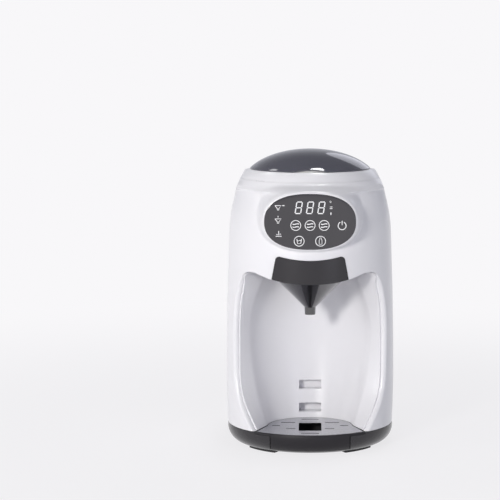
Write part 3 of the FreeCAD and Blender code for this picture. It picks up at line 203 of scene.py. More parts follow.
# Size of the tone's clouds in opaque plastic and of the flow lines in clear plastic
CLOUD_MM = 45.0
FLOW_MM = 60.0

# Bevels round only edges that turn by more than this angle, and lengths below the tiny one count as nothing
EDGE_ANGLE = math.radians(50.0)
TINY = 1e-6


def linear_colour(hex_text):
    """sRGB hex text turned to the linear colour that a shader reads."""
    srgb = np.array([int(hex_text[k:k + 2], 16) for k in (1, 3, 5)]) / 255.0
    linear = np.where(srgb <= 0.04045, srgb / 12.92, ((srgb + 0.055) / 1.055) ** 2.4)
    return (*linear.tolist(), 1.0)


def natural_spline(x, y, at):
    """Smooth curve through the points (x, y): cubics whose second derivative is zero at both ends."""
    gaps = np.diff(x)
    slopes = np.diff(y) / gaps
    count = len(x)
    system = np.eye(count)
    right = np.zeros(count)
    inner = np.arange(1, count - 1)
    system[inner, inner - 1] = gaps[:-1]
    system[inner, inner] = 2.0 * (gaps[:-1] + gaps[1:])
    system[inner, inner + 1] = gaps[1:]
    right[inner] = 6.0 * np.diff(slopes)
    bend = np.linalg.solve(system, right)
    at = np.asarray(at, dtype=float)
    k = np.clip(np.searchsorted(x, at) - 1, 0, count - 2)
    before = at - x[k]
    after = x[k + 1] - at
    width = gaps[k]
    cubic = (bend[k] * after ** 3 + bend[k + 1] * before ** 3) / (6.0 * width)
    from_left = (y[k] / width - bend[k] * width / 6.0) * after
    from_right = (y[k + 1] / width - bend[k + 1] * width / 6.0) * before
    return cubic + (from_left + from_right)


def smooth_step(value):
    """Rises from 0 to 1 with a level start and end: 3 v squared less 2 v cubed, for v from 0 to 1."""
    value = np.clip(value, 0.0, 1.0)
    return value * value * (3.0 - 2.0 * value)


def unit(vectors):
    """Vectors along the last axis brought to length one."""
    return vectors / np.linalg.norm(vectors, axis=-1, keepdims=True)


def body_radius_at(z):
    """Radius of the body's round ends at a height."""
    inset = natural_spline(OUTLINE_Z, OUTLINE_INSET, np.clip(z, OUTLINE_Z[0], OUTLINE_Z[-1]))
    return BODY_RADIUS - inset


def bay_values(z):
    """Edge, crease and back of the bay at a height. Seen from the front, a circular arc joins the edge to the
    head's lower edge."""
    rows = (BAY_EDGE_X, BAY_CREASE_X, BAY_CREASE_Y, BAY_BACK_Y)
    edge_x, crease_x, crease_y, back_y = [natural_spline(BAY_Z, row, z) for row in rows]
    above = np.clip(z - CORNER_Z, 0.0, None)
    arc = CORNER_X + np.sqrt(np.clip(CORNER_ROUND ** 2 - above ** 2, 0.0, None))
    edge_x = np.where(z > CORNER_Z, np.minimum(edge_x, arc), edge_x)
    return edge_x, crease_x, crease_y, back_y


def bay_edge_round(z):
    """Round between the shell and the bay's flare at a height, seen from above: the sharp corner, the
    directions of the shell and of the flare away from it, how far the round reaches along both, its centre
    and its radius."""
    edge_x, crease_x, crease_y, _ = bay_values(z)
    body = body_radius_at(z)
    edge_y = FRONT_AXIS_Y - np.sqrt(body ** 2 - edge_x ** 2)
    corner = np.stack([edge_x, edge_y], axis=-1)
    along_shell = np.stack([(FRONT_AXIS_Y - edge_y) / body, edge_x / body], axis=-1)
    along_flare = unit(np.stack([crease_x - edge_x, crease_y - edge_y], axis=-1))
    half = 0.5 * np.arccos(np.sum(along_shell * along_flare, axis=-1))
    radius = BAY_EDGE_RADIUS * smooth_step((BAY_CORNER_Z - z) / BAY_EDGE_FADE)
    centre = corner + unit(along_shell + along_flare) * (radius / np.sin(half))[..., None]
    return corner, along_shell, along_flare, radius / np.tan(half), centre, radius


def new_mesh(name, points, faces):
    """Mesh from an array of points in millimetres and an array or list of faces."""
    mesh = bpy.data.meshes.new(name)
    mesh.from_pydata((np.asarray(points) * MM).tolist(), [], [list(face) for face in faces])
    mesh.update()
    return mesh


def new_object(name, data):
    """Object with its data, linked to the scene."""
    made = bpy.data.objects.new(name, data)
    bpy.context.scene.collection.objects.link(made)
    return made


def mesh_piece(name, points, faces, body, material, smooth=True):
    """Piece with a mesh and a material, riding on a body."""
    mesh = new_mesh(name, points, faces)
    mesh.polygons.foreach_set("use_smooth", np.full(len(mesh.polygons), smooth))
    mesh.materials.append(material)
    piece = new_object(name, mesh)
    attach(piece, body)
    return piece


def grid_faces(rows, columns, close_rows=False, close_columns=False):
    """Quads of a grid of rows by columns of points, wrapped round where asked."""
    row = np.arange(rows if close_rows else rows - 1)
    column = np.arange(columns if close_columns else columns - 1)
    r, c = np.meshgrid(row, column, indexing="ij")
    r_next = (r + 1) % rows
    c_next = (c + 1) % columns
    corners = [r * columns + c, r * columns + c_next, r_next * columns + c_next, r_next * columns + c]
    return np.stack([corner.ravel() for corner in corners], axis=1)


def add_modifier(piece, kind, **settings):
    """Adds a modifier with its settings."""
    modifier = piece.modifiers.new(kind.title(), kind)
    for key, value in settings.items():
        setattr(modifier, key, value)


def apply_modifiers(piece):
    """Makes the modifiers' result the piece's own mesh."""
    graph = bpy.context.evaluated_depsgraph_get()
    mesh = bpy.data.meshes.new_from_object(piece.evaluated_get(graph))
    piece.modifiers.clear()
    piece.data = mesh


def cut_away(piece, points, faces):
    """Cuts a closed form out of a piece."""
    cutter = new_object("cutter", new_mesh("cutter", points, faces))
    add_modifier(piece, "BOOLEAN", object=cutter, operation="DIFFERENCE", solver="EXACT")
    apply_modifiers(piece)
    bpy.data.objects.remove(cutter)


def add_node(tree, kind, settings=None, links=None):
    """Adds one shader node, sets its named inputs and properties, and links its inputs to other sockets."""
    node = tree.nodes.new(kind)
    for key, value in (settings or {}).items():
        if isinstance(key, str) and hasattr(node, key):
            setattr(node, key, value)
        else:
            node.inputs[key].default_value = value
    for key, socket in (links or {}).items():
        tree.links.new(socket, node.inputs[key])
    return node


def new_material(name):
    """Material with an empty node tree."""
    material = bpy.data.materials.new(name)
    material.use_nodes = True
    tree = material.node_tree
    tree.nodes.clear()
    return material, tree


def shades(hex_colour, low, high):
    """Settings of a colour mix that runs from the low to the high multiple of a base colour."""
    base = linear_colour(hex_colour)[:3]
    ends = [(*[min(1.0, channel * level) for channel in base], 1.0) for level in (low, high)]
    return {"data_type": "RGBA", 6: ends[0], 7: ends[1]}


def moulded_plastic(name, hex_colour, roughness, grain_mm, grain_depth_mm, mottle, coat=0.0, specular=0.5):
    """Moulded plastic: a faint cloudy tone, spark-eroded grain as bump, and gloss that varies a little. Real
    grain is a tenth of a millimetre or finer, too fine to show, so it is drawn coarser."""
    material, tree = new_material(name)
    place = add_node(tree, "ShaderNodeTexCoord").outputs["Object"]
    cloud = add_node(tree, "ShaderNodeTexNoise", {"Scale": 1.0 / (CLOUD_MM * MM), "Detail": 3.0},
                     {"Vector": place}).outputs["Fac"]
    grain = add_node(tree, "ShaderNodeTexNoise", {"Scale": 1.0 / (grain_mm * MM), "Detail": 4.0},
                     {"Vector": place}).outputs["Fac"]
    tone = add_node(tree, "ShaderNodeMix", shades(hex_colour, 1.0 - mottle, 1.0 + mottle), {0: cloud})
    bump = add_node(tree, "ShaderNodeBump", {"Strength": 0.6, "Distance": grain_depth_mm * MM},
                    {"Height": grain})
    gloss = add_node(tree, "ShaderNodeMapRange", {"To Min": roughness * 0.92, "To Max": roughness * 1.08},
                     {"Value": cloud})
    shader = add_node(tree, "ShaderNodeBsdfPrincipled",
                      {"IOR": 1.53, "Specular IOR Level": specular, "Coat Weight": coat,
                       "Coat Roughness": 0.05},
                      {"Base Color": tone.outputs[2], "Roughness": gloss.outputs[0],
                       "Normal": bump.outputs[0]})
    add_node(tree, "ShaderNodeOutputMaterial", {}, {"Surface": shader.outputs[0]})
    return material


def tinted_clear(name, hex_colour, transmission, roughness):
    """Tinted clear plastic: smoke-coloured body, polished skin with faint flow lines."""
    material, tree = new_material(name)
    place = add_node(tree, "ShaderNodeTexCoord").outputs["Object"]
    flow = add_node(tree, "ShaderNodeTexNoise",
                    {"Scale": 1.0 / (FLOW_MM * MM), "Detail": 2.0, "Distortion": 0.6},
                    {"Vector": place}).outputs["Fac"]
    tone = add_node(tree, "ShaderNodeMix", shades(hex_colour, 0.88, 1.0), {0: flow})
    bump = add_node(tree, "ShaderNodeBump", {"Strength": 0.25, "Distance": 0.15 * MM}, {"Height": flow})
    shader = add_node(tree, "ShaderNodeBsdfPrincipled",
                      {"Roughness": roughness, "IOR": 1.57, "Transmission Weight": transmission,
                       "Coat Weight": 0.4, "Coat Roughness": 0.03},
                      {"Base Color": tone.outputs[2], "Normal": bump.outputs[0]})
    add_node(tree, "ShaderNodeOutputMaterial", {}, {"Surface": shader.outputs[0]})
    return material


def bare_metal(name, hex_colour, roughness, line_mm):
    """Drawn metal: upright lines, drawn coarser than real ones so that they show, in tone, gloss and bump."""
    material, tree = new_material(name)
    place = add_node(tree, "ShaderNodeTexCoord").outputs["Object"]
    drawn = add_node(tree, "ShaderNodeMapping", {"Scale": (1.0, 1.0, 0.04)}, {"Vector": place}).outputs[0]
    lines = add_node(tree, "ShaderNodeTexNoise", {"Scale": 1.0 / (line_mm * MM), "Detail": 3.0},
                     {"Vector": drawn}).outputs["Fac"]
    tone = add_node(tree, "ShaderNodeMix", shades(hex_colour, 0.82, 1.0), {0: lines})
    gloss = add_node(tree, "ShaderNodeMapRange", {"To Min": roughness * 0.75, "To Max": roughness * 1.25},
                     {"Value": lines})
    bump = add_node(tree, "ShaderNodeBump", {"Strength": 0.3, "Distance": 0.03 * MM}, {"Height": lines})
    shader = add_node(tree, "ShaderNodeBsdfPrincipled", {"Metallic": 1.0},
                      {"Base Color": tone.outputs[2], "Roughness": gloss.outputs[0],
                       "Normal": bump.outputs[0]})
    add_node(tree, "ShaderNodeOutputMaterial", {}, {"Surface": shader.outputs[0]})
    return material


def silver_top(material):
    """Keeps the silver lacquer on the grille's top, and shows the black plastic in its slits and below in
    near-black, darker than the other black pieces as painted shade in the slits.
    """
    tree = material.node_tree
    shader = tree.nodes["Principled BSDF"]
    lacquer = shader.inputs["Base Color"].links[0].from_socket
    place = add_node(tree, "ShaderNodeTexCoord").outputs["Object"]
    height = add_node(tree, "ShaderNodeSeparateXYZ", {}, {0: place}).outputs["Z"]
    low = (GRILLE_TOP_Z - LACQUER_DEPTH) * MM
    top = add_node(tree, "ShaderNodeMath", {"operation": "GREATER_THAN", 1: low}, {0: height}).outputs[0]
    # Near-black below the top: the grille's own black plastic, drawn darker as painted shade in the slits
    colour = add_node(tree, "ShaderNodeMix", {"data_type": "RGBA", 6: linear_colour("#0c0c0d")},
                      {0: top, 7: lacquer})
    tree.links.new(colour.outputs[2], shader.inputs["Base Color"])
    for name, level in (("Metallic", 0.8), ("Coat Weight", 0.4)):
        masked = add_node(tree, "ShaderNodeMath", {"operation": "MULTIPLY", 1: level}, {0: top})
        tree.links.new(masked.outputs[0], shader.inputs[name])


def make_materials(sizes):
    """Every finish of the machine, by name."""
    made = {
        # ABS moulded in a polished tool: bright white, soft gloss, almost no grain
        "abs_white": moulded_plastic("moulded_abs_white", sizes.casing_colour, roughness=0.30, grain_mm=0.9,
                                     grain_depth_mm=0.012, mottle=0.012, coat=0.25),
        # ABS moulded in a mirror-polished tool: deep black, sharp reflections
        "abs_black": moulded_plastic("moulded_abs_black", sizes.base_colour, roughness=0.20, grain_mm=1.2,
                                     grain_depth_mm=0.008, mottle=0.10, coat=0.15, specular=0.35),
        # ABS with a fine spark-eroded skin on the tray: satin black
        "abs_satin": moulded_plastic("moulded_abs_satin_black", "#262428", roughness=0.42, grain_mm=0.6,
                                     grain_depth_mm=0.012, mottle=0.08, specular=0.25),
        # ABS in a mirror-polished tool, lacquered: stronger reflections on the funnel
        "abs_gloss": moulded_plastic("lacquered_abs_black", "#1f1e21", roughness=0.18, grain_mm=1.2,
                                     grain_depth_mm=0.006, mottle=0.10, coat=1.0, specular=1.0),
        # Smoked styrene acrylonitrile: see-through when lit from behind, mirror-like skin
        "smoked_lid": tinted_clear("moulded_san_smoked", sizes.lid_colour, transmission=0.45, roughness=0.05),
        # The same plastic in the tank's thicker wall
        "smoked_tank": tinted_clear("moulded_san_tank", "#6c6c74", transmission=0.80, roughness=0.07),
        # Acrylic lens printed black on its back: flat, glossy, with depth
        "lens": moulded_plastic("printed_acrylic_lens", sizes.lens_colour, roughness=0.13, grain_mm=1.5,
                                grain_depth_mm=0.004, mottle=0.05, coat=0.6),
        # White screen-printed ink: even and matt
        "ink": moulded_plastic("screen_printed_ink", "#f4f4f6", roughness=0.55, grain_mm=0.5,
                               grain_depth_mm=0.004, mottle=0.02),
        # Silver lacquer on moulded ABS: fine flake, satin gloss
        "silver": moulded_plastic("lacquered_abs_silver", sizes.grille_colour, roughness=0.24, grain_mm=0.35,
                                  grain_depth_mm=0.010, mottle=0.08),
        # Moulded and cured silicone: milky, soft sheen
        "silicone": moulded_plastic("moulded_silicone", "#dcdcdc", roughness=0.45, grain_mm=0.8,
                                    grain_depth_mm=0.02, mottle=0.04),
        # Moulded nitrile rubber: matt black with a fine grain
        "rubber": moulded_plastic("moulded_nitrile_rubber", "#1c1c1e", roughness=0.65, grain_mm=0.4,
                                  grain_depth_mm=0.04, mottle=0.12),
        # Clear copolyester cup: water-clear with a faint cool tone
        "clear_cup": tinted_clear("moulded_copolyester", "#dfe6ea", transmission=0.85, roughness=0.06),
        # Moulded acetal: waxy off-white with a dull sheen
        "acetal": moulded_plastic("moulded_acetal", "#ebe9e2", roughness=0.38, grain_mm=0.5,
                                  grain_depth_mm=0.015, mottle=0.03),
        # Zinc-plated steel: bluish grey, fine drawn lines
        "steel": bare_metal("zinc_plated_steel", "#b9bbbf", roughness=0.32, line_mm=0.25),
        # Drawn aluminium sheath: pale and satin
        "aluminium": bare_metal("drawn_aluminium", "#d2d3d5", roughness=0.36, line_mm=0.3),
        # Glass-fibre laminate under solder resist: deep green, cloudy, with a clear skin
        "laminate": moulded_plastic("solder_resist_laminate", "#1d5a35", roughness=0.35, grain_mm=0.6,
                                    grain_depth_mm=0.02, mottle=0.15, coat=0.2),
    }
    silver_top(made["silver"])
    return made


# CAD nodes of each finish, and the materials that the finishes step makes
NODE_FINISH = {
    "abs_white": ("front_casing", "bay_liner", "head_floor", "rear_casing", "top_collar", "tank_lid"),
    "abs_black": ("base", "cord_gland", "drawer_front", "funnel_carrier", "display_module", "funnel_sensor"),
    "abs_satin": ("drip_tray",),
    "abs_gloss": ("funnel",),
    "smoked_lid": ("dome_lid",),
    "smoked_tank": ("water_tank",),
    "lens": ("control_panel",),
    "silver": ("tray_grille",),
    "silicone": ("lid_seal", "valve_poppet", "inlet_hose", "heater_hose", "nozzle_hose"),
    "rubber": ("feet",),
    "clear_cup": ("powder_container",),
    "acetal": ("stirrer_shaft", "dosing_wheel", "mixing_wheel", "gear_deck", "gear_bearing", "output_gear",
               "motor_pinion", "powder_chute", "water_nozzle", "valve_body", "tank_socket", "tank_float",
               "pump_head", "pump_impeller", "pump_bracket", "heater_brackets"),
    "steel": ("lid_hinge_pin", "dosing_motor", "pump_motor", "touch_springs", "board_screws", "base_screws",
              "deck_screws", "motor_screws"),
    "aluminium": ("heater",),
    "laminate": ("panel_board", "level_sensor", "main_board"),
}
FINISH = {}


class FormulaMakerSizes(bpy.types.PropertyGroup):
    """Colours and sizes of the machine's finish that a user may change."""
    casing_colour: bpy.props.StringProperty(
        name="Casing", description="sRGB hex of the white shells", default="#e9e8ec")
    base_colour: bpy.props.StringProperty(
        name="Base", description="sRGB hex of the black pieces", default="#2b292d")
    lid_colour: bpy.props.StringProperty(
        name="Lid", description="sRGB hex of the smoked lid", default="#70707c")
    lens_colour: bpy.props.StringProperty(
        name="Lens", description="sRGB hex of the panel's lens", default="#323035")
    grille_colour: bpy.props.StringProperty(
        name="Grille", description="sRGB hex of the tray's grille", default="#a8a8ae")
    pod_blend: bpy.props.FloatProperty(
        name="Pod blend", description="How softly the pod runs into the body",
        default=0.004, min=0.001, max=0.02, precision=4, subtype="DISTANCE", unit="LENGTH")
    edge_round: bpy.props.FloatProperty(
        name="Edge rounding", description="Rounding of the shells' edges",
        default=0.0004, min=0.0001, max=0.001, precision=4, subtype="DISTANCE", unit="LENGTH")


def sizes_of(context):
    """The settings of the scene."""
    return context.scene.formula_maker_sizes


def dress_nodes():
    """Gives every CAD node its finish."""
    for finish, names in NODE_FINISH.items():
        for name in names:
            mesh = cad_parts[name].data
            mesh.materials.clear()
            mesh.materials.append(FINISH[finish])


class FORMULA_OT_stage(bpy.types.Operator):
    """Camera, pale floor and soft studio light"""
    bl_idname = "formula_maker.stage"
    bl_label = "Stage"

    # Floor: metres from the machine over which its own glow grows, and the share at both ends
    floor_reach = (0.25, 1.1)
    floor_glow = (0.82, 1.0)
    # Sky: upward part of a direction over which the light falls, and its strength at both ends
    sky_rise = (0.10, 0.75)
    sky_level = (0.72, 0.22)

    def execute(self, context):
        self.camera(context.scene)
        self.floor()
        for lamp in LAMPS:
            self.lamp(*lamp)
        self.world(context.scene)
        context.scene.view_settings.view_transform = "Standard"
        return {"FINISHED"}

    def camera(self, scene):
        """Camera in front of the machine, looking slightly down, with the photograph's frame."""
        data = bpy.data.cameras.new("camera")
        data.sensor_width = SENSOR_MM
        data.lens = FOCAL_PX / IMAGE_PX * SENSOR_MM
        data.shift_x = -(CENTRE_LINE_PX - IMAGE_PX / 2) / IMAGE_PX
        data.shift_y = (AIM_ROW_PX - IMAGE_PX / 2) / IMAGE_PX
        data.clip_end = 50.0
        camera = new_object("camera", data)
        camera.location = Vector(CAMERA_MM) * MM
        camera.rotation_euler = (math.radians(90.0 - CAMERA_PITCH_DEG), 0.0, 0.0)
        scene.camera = camera

    def floor(self):
        """Plain pale floor that takes the object's shadow. Where the camera or gloss sees it, it also glows
        in the backdrop's white, a little less near the machine, so that it has no far edge."""
        material, tree = new_material("painted_floor")
        paint = add_node(tree, "ShaderNodeBsdfPrincipled",
                         {"Base Color": linear_colour("#f4f4f6"), "Roughness": 0.7})
        glow = add_node(tree, "ShaderNodeEmission",
                        {"Color": linear_colour(BACKDROP_COLOUR), "Strength": 1.0})
        path = add_node(tree, "ShaderNodeLightPath")
        seen = add_node(tree, "ShaderNodeMath", {"operation": "MAXIMUM"},
                        {0: path.outputs["Is Camera Ray"], 1: path.outputs["Is Glossy Ray"]})
        place = add_node(tree, "ShaderNodeTexCoord").outputs["Object"]
        reach = add_node(tree, "ShaderNodeVectorMath", {"operation": "LENGTH"}, {0: place})
        fade = add_node(tree, "ShaderNodeMapRange",
                        {"interpolation_type": "SMOOTHSTEP",
                         "From Min": self.floor_reach[0], "From Max": self.floor_reach[1],
                         "To Min": self.floor_glow[0], "To Max": self.floor_glow[1]},
                        {"Value": reach.outputs["Value"]})
        share = add_node(tree, "ShaderNodeMath", {"operation": "MULTIPLY"},
                         {0: seen.outputs[0], 1: fade.outputs[0]})
        mix = add_node(tree, "ShaderNodeMixShader", {},
                       {0: share.outputs[0], 1: paint.outputs[0], 2: glow.outputs[0]})
        add_node(tree, "ShaderNodeOutputMaterial", {}, {"Surface": mix.outputs[0]})
        corners = [(x * FLOOR_HALF, y * FLOOR_HALF, 0.0) for x, y in ((-1, -1), (1, -1), (1, 1), (-1, 1))]
        floor = new_object("floor", new_mesh("floor", corners, [(0, 1, 2, 3)]))
        floor.data.materials.append(material)

    def lamp(self, name, place, size, power, hex_colour):
        """Soft round lamp aimed at the machine's middle."""
        data = bpy.data.lights.new(name, "AREA")
        data.shape = "DISK"
        data.size = size
        data.energy = power
        data.color = linear_colour(hex_colour)[:3]
        lamp = new_object(name, data)
        lamp.location = place
        aim = Vector(LAMP_AIM) - lamp.location
        lamp.rotation_euler = aim.to_track_quat("-Z", "Y").to_euler()

    def world(self, scene):
        """Pale surroundings: the backdrop's white where the camera sees them, also through clear pieces. As
        light and in reflections they are dimmer, and darken from the horizon upwards."""
        world = bpy.data.worlds.new("surroundings")
        scene.world = world
        world.use_nodes = True
        tree = world.node_tree
        tree.nodes.clear()
        path = add_node(tree, "ShaderNodeLightPath")
        seen = add_node(tree, "ShaderNodeMath", {"operation": "MAXIMUM"},
                        {0: path.outputs["Is Camera Ray"], 1: path.outputs["Is Transmission Ray"]})
        place = add_node(tree, "ShaderNodeTexCoord").outputs["Object"]
        height = add_node(tree, "ShaderNodeSeparateXYZ", {}, {0: place}).outputs["Z"]
        level = add_node(tree, "ShaderNodeMapRange",
                         {"interpolation_type": "SMOOTHSTEP",
                          "From Min": self.sky_rise[0], "From Max": self.sky_rise[1],
                          "To Min": self.sky_level[0], "To Max": self.sky_level[1]}, {"Value": height})
        light = add_node(tree, "ShaderNodeBackground", {"Color": linear_colour("#e4e6ee")},
                         {"Strength": level.outputs[0]})
        backdrop = add_node(tree, "ShaderNodeBackground",
                            {"Color": linear_colour(BACKDROP_COLOUR), "Strength": 1.0})
        mix = add_node(tree, "ShaderNodeMixShader", {},
                       {0: seen.outputs[0], 1: light.outputs[0], 2: backdrop.outputs[0]})
        add_node(tree, "ShaderNodeOutputWorld", {}, {"Surface": mix.outputs[0]})


class FORMULA_OT_finishes(bpy.types.Operator):
    """Makes every material and gives it to the CAD nodes"""
    bl_idname = "formula_maker.finishes"
    bl_label = "Finishes"

    def execute(self, context):
        FINISH.update(make_materials(sizes_of(context)))
        dress_nodes()
        return {"FINISHED"}


def plan_point(side, radius):
    """Plan place on the front half of the body: side below 0 is millimetres along the straight flank behind
    the front axis, side above 0 is degrees round the front end from the right."""
    turn = np.radians(np.clip(side, 0.0, None))
    x = radius * np.cos(turn)
    y = FRONT_AXIS_Y - radius * np.sin(turn) - np.clip(side, None, 0.0)
    return x, y


def pod_surface(x, y, z, blend):
    """Depth of the body with its pod. The pod is a flat superellipse whose drafted wall falls back from its
    rim, less steeply above the panel. The further forward of pod and body counts, with a soft valley of the
    blend's width between them, and the pod fades out under the collar."""
    across = np.abs(x) / (PANEL_HALF_WIDTH + POD_RIM)
    up = np.abs(z - PANEL_Z) / (PANEL_HALF_HEIGHT + POD_RIM)
    measure = (across ** PANEL_POWER + up ** PANEL_POWER) ** (1.0 / PANEL_POWER)
    beyond = (measure - 1.0) * 0.5 * (PANEL_HALF_WIDTH + PANEL_HALF_HEIGHT)
    ramp = 0.5 * (beyond + np.sqrt(beyond ** 2 + POD_RIM_SOFTNESS ** 2))
    upward = np.clip((z - PANEL_Z) / PANEL_HALF_HEIGHT, 0.0, 1.0) ** 2
    slope = POD_SLOPE + (POD_TOP_SLOPE - POD_SLOPE) * upward
    pod = POD_FACE_Y + POD_SET_BACK + slope * ramp
    width = np.clip(VALLEY_SHARE * (y - POD_FACE_Y), VALLEY_LEAST, blend)
    valley = np.clip(width - np.abs(pod - y), 0.0, None) / width
    joined = np.minimum(pod, y) - valley ** 2 * width / 4.0
    joined = y + (joined - y) * smooth_step((COLLAR_SEAM_Z - z) / POD_FADE)
    return np.where(y < FRONT_AXIS_Y, np.maximum(joined, POD_FACE_Y + POD_LEAST_SET_BACK), y)


def underside_z(x):
    """Height of the head's lower edge: level in the middle, rising outwards, with an arc at the corners."""
    line = HEAD_FLOOR_Z + HEAD_FLOOR_RISE * np.clip(np.abs(x) - HEAD_FLOOR_FLAT, 0.0, None)
    beyond = np.abs(x) - CORNER_X
    arc = CORNER_Z + np.sqrt(np.clip(CORNER_ROUND ** 2 - beyond ** 2, 0.0, None))
    return np.where(beyond > -CORNER_MEETS_EDGE, np.minimum(line, arc), line)


class FORMULA_OT_front_shell(bpy.types.Operator):
    """White front shell with its pod and the rim of the bay"""
    bl_idname = "formula_maker.front_shell"
    bl_label = "Front shell"

    flank_columns = 6
    side_columns = 26
    front_columns = 78
    edge_columns = 8
    corner_rows = 18
    side_rows = 96
    head_rows = 96
    # Round that turns the head's lower edge in: radius, rows, share of the height and columns to grow over
    lip_radius = 2.0
    lip_rows = 8
    lip_share = 0.03
    lip_columns = 8
    # Rounds in which the lower edge's height and its place in plan settle on one another
    settling = 8
    drawer_cut = (-160.0, -70.0)
    weld = 0.02

    def execute(self, context):
        sizes = sizes_of(context)
        rear = FRONT_AXIS_Y - CASING_SPLIT_Y + SEAM_GAP / 2
        flank = np.linspace(rear, 0.0, self.flank_columns, endpoint=False)
        share = np.linspace(0.0, 1.0, self.side_columns)
        corner = math.degrees(math.acos(CORNER_X / body_radius_at(BAY_CORNER_Z)))
        front = np.linspace(corner, 90.0, self.front_columns)[1:]
        side = np.concatenate([flank, share * corner, front])
        points, faces = self.side_grid(flank, share)
        head_points, head_faces = self.head_grid(side, len(flank) + len(share), sizes.pod_blend / MM)
        faces = np.concatenate([faces, head_faces + len(points)])
        points = np.concatenate([points, head_points])
        faces = np.concatenate([faces, faces[:, ::-1] + len(points)])
        points = np.concatenate([points, points * np.array([-1.0, 1.0, 1.0])])
        shell = mesh_piece("front_shell", points, faces, "housing", FINISH["abs_white"])
        add_modifier(shell, "WELD", merge_threshold=self.weld * MM)
        add_modifier(shell, "SOLIDIFY", thickness=SHELL_RIM * MM, offset=-1.0)
        apply_modifiers(shell)
        cut_away(shell, *drawer_outline_form(DRAWER_GAP, *self.drawer_cut))
        add_modifier(shell, "BEVEL", width=sizes.edge_round, segments=3, limit_method="ANGLE",
                     angle_limit=EDGE_ANGLE)
        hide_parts("front_casing")
        return {"FINISHED"}

    def side_grid(self, flank, share):
        """Flank and cheek beside the bay: each row runs from the rear seam to the bay's edge at its height,
        and turns in there along a circular arc that ends in the flare's direction."""
        straight_rows = self.side_rows - self.corner_rows
        straight = np.linspace(BASE_TOP_Z + SEAM_GAP, CORNER_Z, straight_rows, endpoint=False)
        arc = CORNER_Z + CORNER_ROUND * np.sin(np.linspace(0.0, np.pi / 2, self.corner_rows))
        z = np.concatenate([straight, arc])[:, None]
        body = body_radius_at(z)
        corner, along_shell, along_flare, reach, centre, radius = bay_edge_round(z)
        edge = np.degrees(np.arccos(corner[..., 0] / body) - reach / body)
        behind = np.broadcast_to(flank, (self.side_rows, len(flank)))
        x, y = plan_point(np.concatenate([behind, edge * share], axis=1), body)
        first = corner + along_shell * reach[..., None] - centre
        last = corner + along_flare * reach[..., None] - centre
        rolled = np.where(radius[..., None] > TINY, centre + self.arc_between(first, last, radius), corner)
        x = np.concatenate([x, rolled[..., 0]], axis=1)
        y = np.concatenate([y, rolled[..., 1]], axis=1)
        points = np.stack([x, y, np.broadcast_to(z, x.shape)], axis=-1).reshape(-1, 3)
        return points, grid_faces(self.side_rows, x.shape[1])[:, ::-1]

    def arc_between(self, first, last, radius):
        """Spokes that turn evenly from the first to the last: the first times the sine of the angle still to
        go, plus the last times the sine of the angle gone, over the sine of the whole angle."""
        cosine = np.sum(first * last, axis=-1) / np.maximum(radius, TINY) ** 2
        whole = np.arccos(np.clip(cosine, -1.0, 1.0))
        gone = np.linspace(0.0, 1.0, self.edge_columns + 1)[None, 1:]
        sine = np.maximum(np.sin(whole), TINY)
        first_share = np.sin((1.0 - gone) * whole) / sine
        last_share = np.sin(gone * whole) / sine
        return first_share[..., None] * first + last_share[..., None] * last

    def head_grid(self, side, side_count, blend):
        """Head above the bay: each column rises from the head's lower edge, which turns in by a quarter
        round, to the collar's seam. The first side_count columns stand above the cheek instead."""
        index = np.arange(len(side))
        low = np.full(side.shape, BAY_CORNER_Z)
        for _ in range(self.settling):
            x, _ = plan_point(side, body_radius_at(low))
            low = np.where(index < side_count, BAY_CORNER_Z, underside_z(x))
        lip = np.linspace(0.0, self.lip_share, self.lip_rows, endpoint=False)
        above = np.linspace(self.lip_share, 1.0, self.head_rows - self.lip_rows)
        rise = np.concatenate([lip, above])[:, None]
        z = low + rise * (COLLAR_SEAM_Z - SEAM_GAP / 2 - low)
        x, y = plan_point(side, body_radius_at(z))
        y = pod_surface(x, y, z, blend)
        over_bay = np.clip((index - side_count) / self.lip_columns, 0.0, 1.0)
        below = np.clip(self.lip_radius - (z - low), 0.0, None)
        depth = over_bay * (self.lip_radius - np.sqrt(self.lip_radius ** 2 - below ** 2))
        x = x * (1.0 - depth / BODY_RADIUS)
        y = y + (FRONT_AXIS_Y - y) * depth / BODY_RADIUS
        points = np.stack([x, y, z], axis=-1).reshape(-1, 3)
        return points, grid_faces(self.head_rows, len(side))[:, ::-1]


def drawer_outline(gap, across_count=24, corner_count=7):
    """Front outline of the drawer plate grown by gap, as x and z: concave top, rounded corners, slanted
    sides and a bottom that bows down."""
    top_z, low_z = DRAWER_TOP_Z + gap, DRAWER_LOW_Z - gap
    top_x, low_x = DRAWER_TOP_X + gap - DRAWER_ROUND, DRAWER_LOW_X + gap
    across = np.linspace(-1.0, 1.0, across_count)
    bow = 1.0 - across ** 2
    upper = np.stack([across * top_x, top_z - DRAWER_TOP_BOW * bow], axis=1)
    turn = np.linspace(math.pi / 2, 0.0, corner_count)[1:]
    right = np.stack([top_x + (DRAWER_ROUND + DRAWER_SLANT) * np.cos(turn),
                      top_z - DRAWER_ROUND + DRAWER_ROUND * np.sin(turn)], axis=1)
    lower = np.stack([-across * low_x, low_z - DRAWER_LOW_BOW * bow], axis=1)
    left = right[::-1] * np.array([-1.0, 1.0])
    return np.concatenate([upper, right, lower, left])


def drawer_outline_form(gap, y0, y1):
    """Closed form of the drawer plate's outline between two depths."""
    outline = drawer_outline(gap)
    count = len(outline)
    front = np.stack([outline[:, 0], np.full(count, y0), outline[:, 1]], axis=1)
    back = front + np.array([0.0, y1 - y0, 0.0])
    sides = grid_faces(2, count, close_columns=True).tolist()
    faces = sides + [list(range(count))[::-1], list(range(count, 2 * count))]
    return np.concatenate([front, back]), faces


def box_form(low, high):
    """Closed box between two corners, with its front face first."""
    x, y, z = np.meshgrid([low[0], high[0]], [low[1], high[1]], [low[2], high[2]], indexing="ij")
    points = np.stack([x.ravel(), y.ravel(), z.ravel()], axis=1)
    faces = [(0, 4, 5, 1), (0, 1, 3, 2), (4, 6, 7, 5), (2, 3, 7, 6), (0, 2, 6, 4), (1, 5, 7, 3)]
    return points, faces


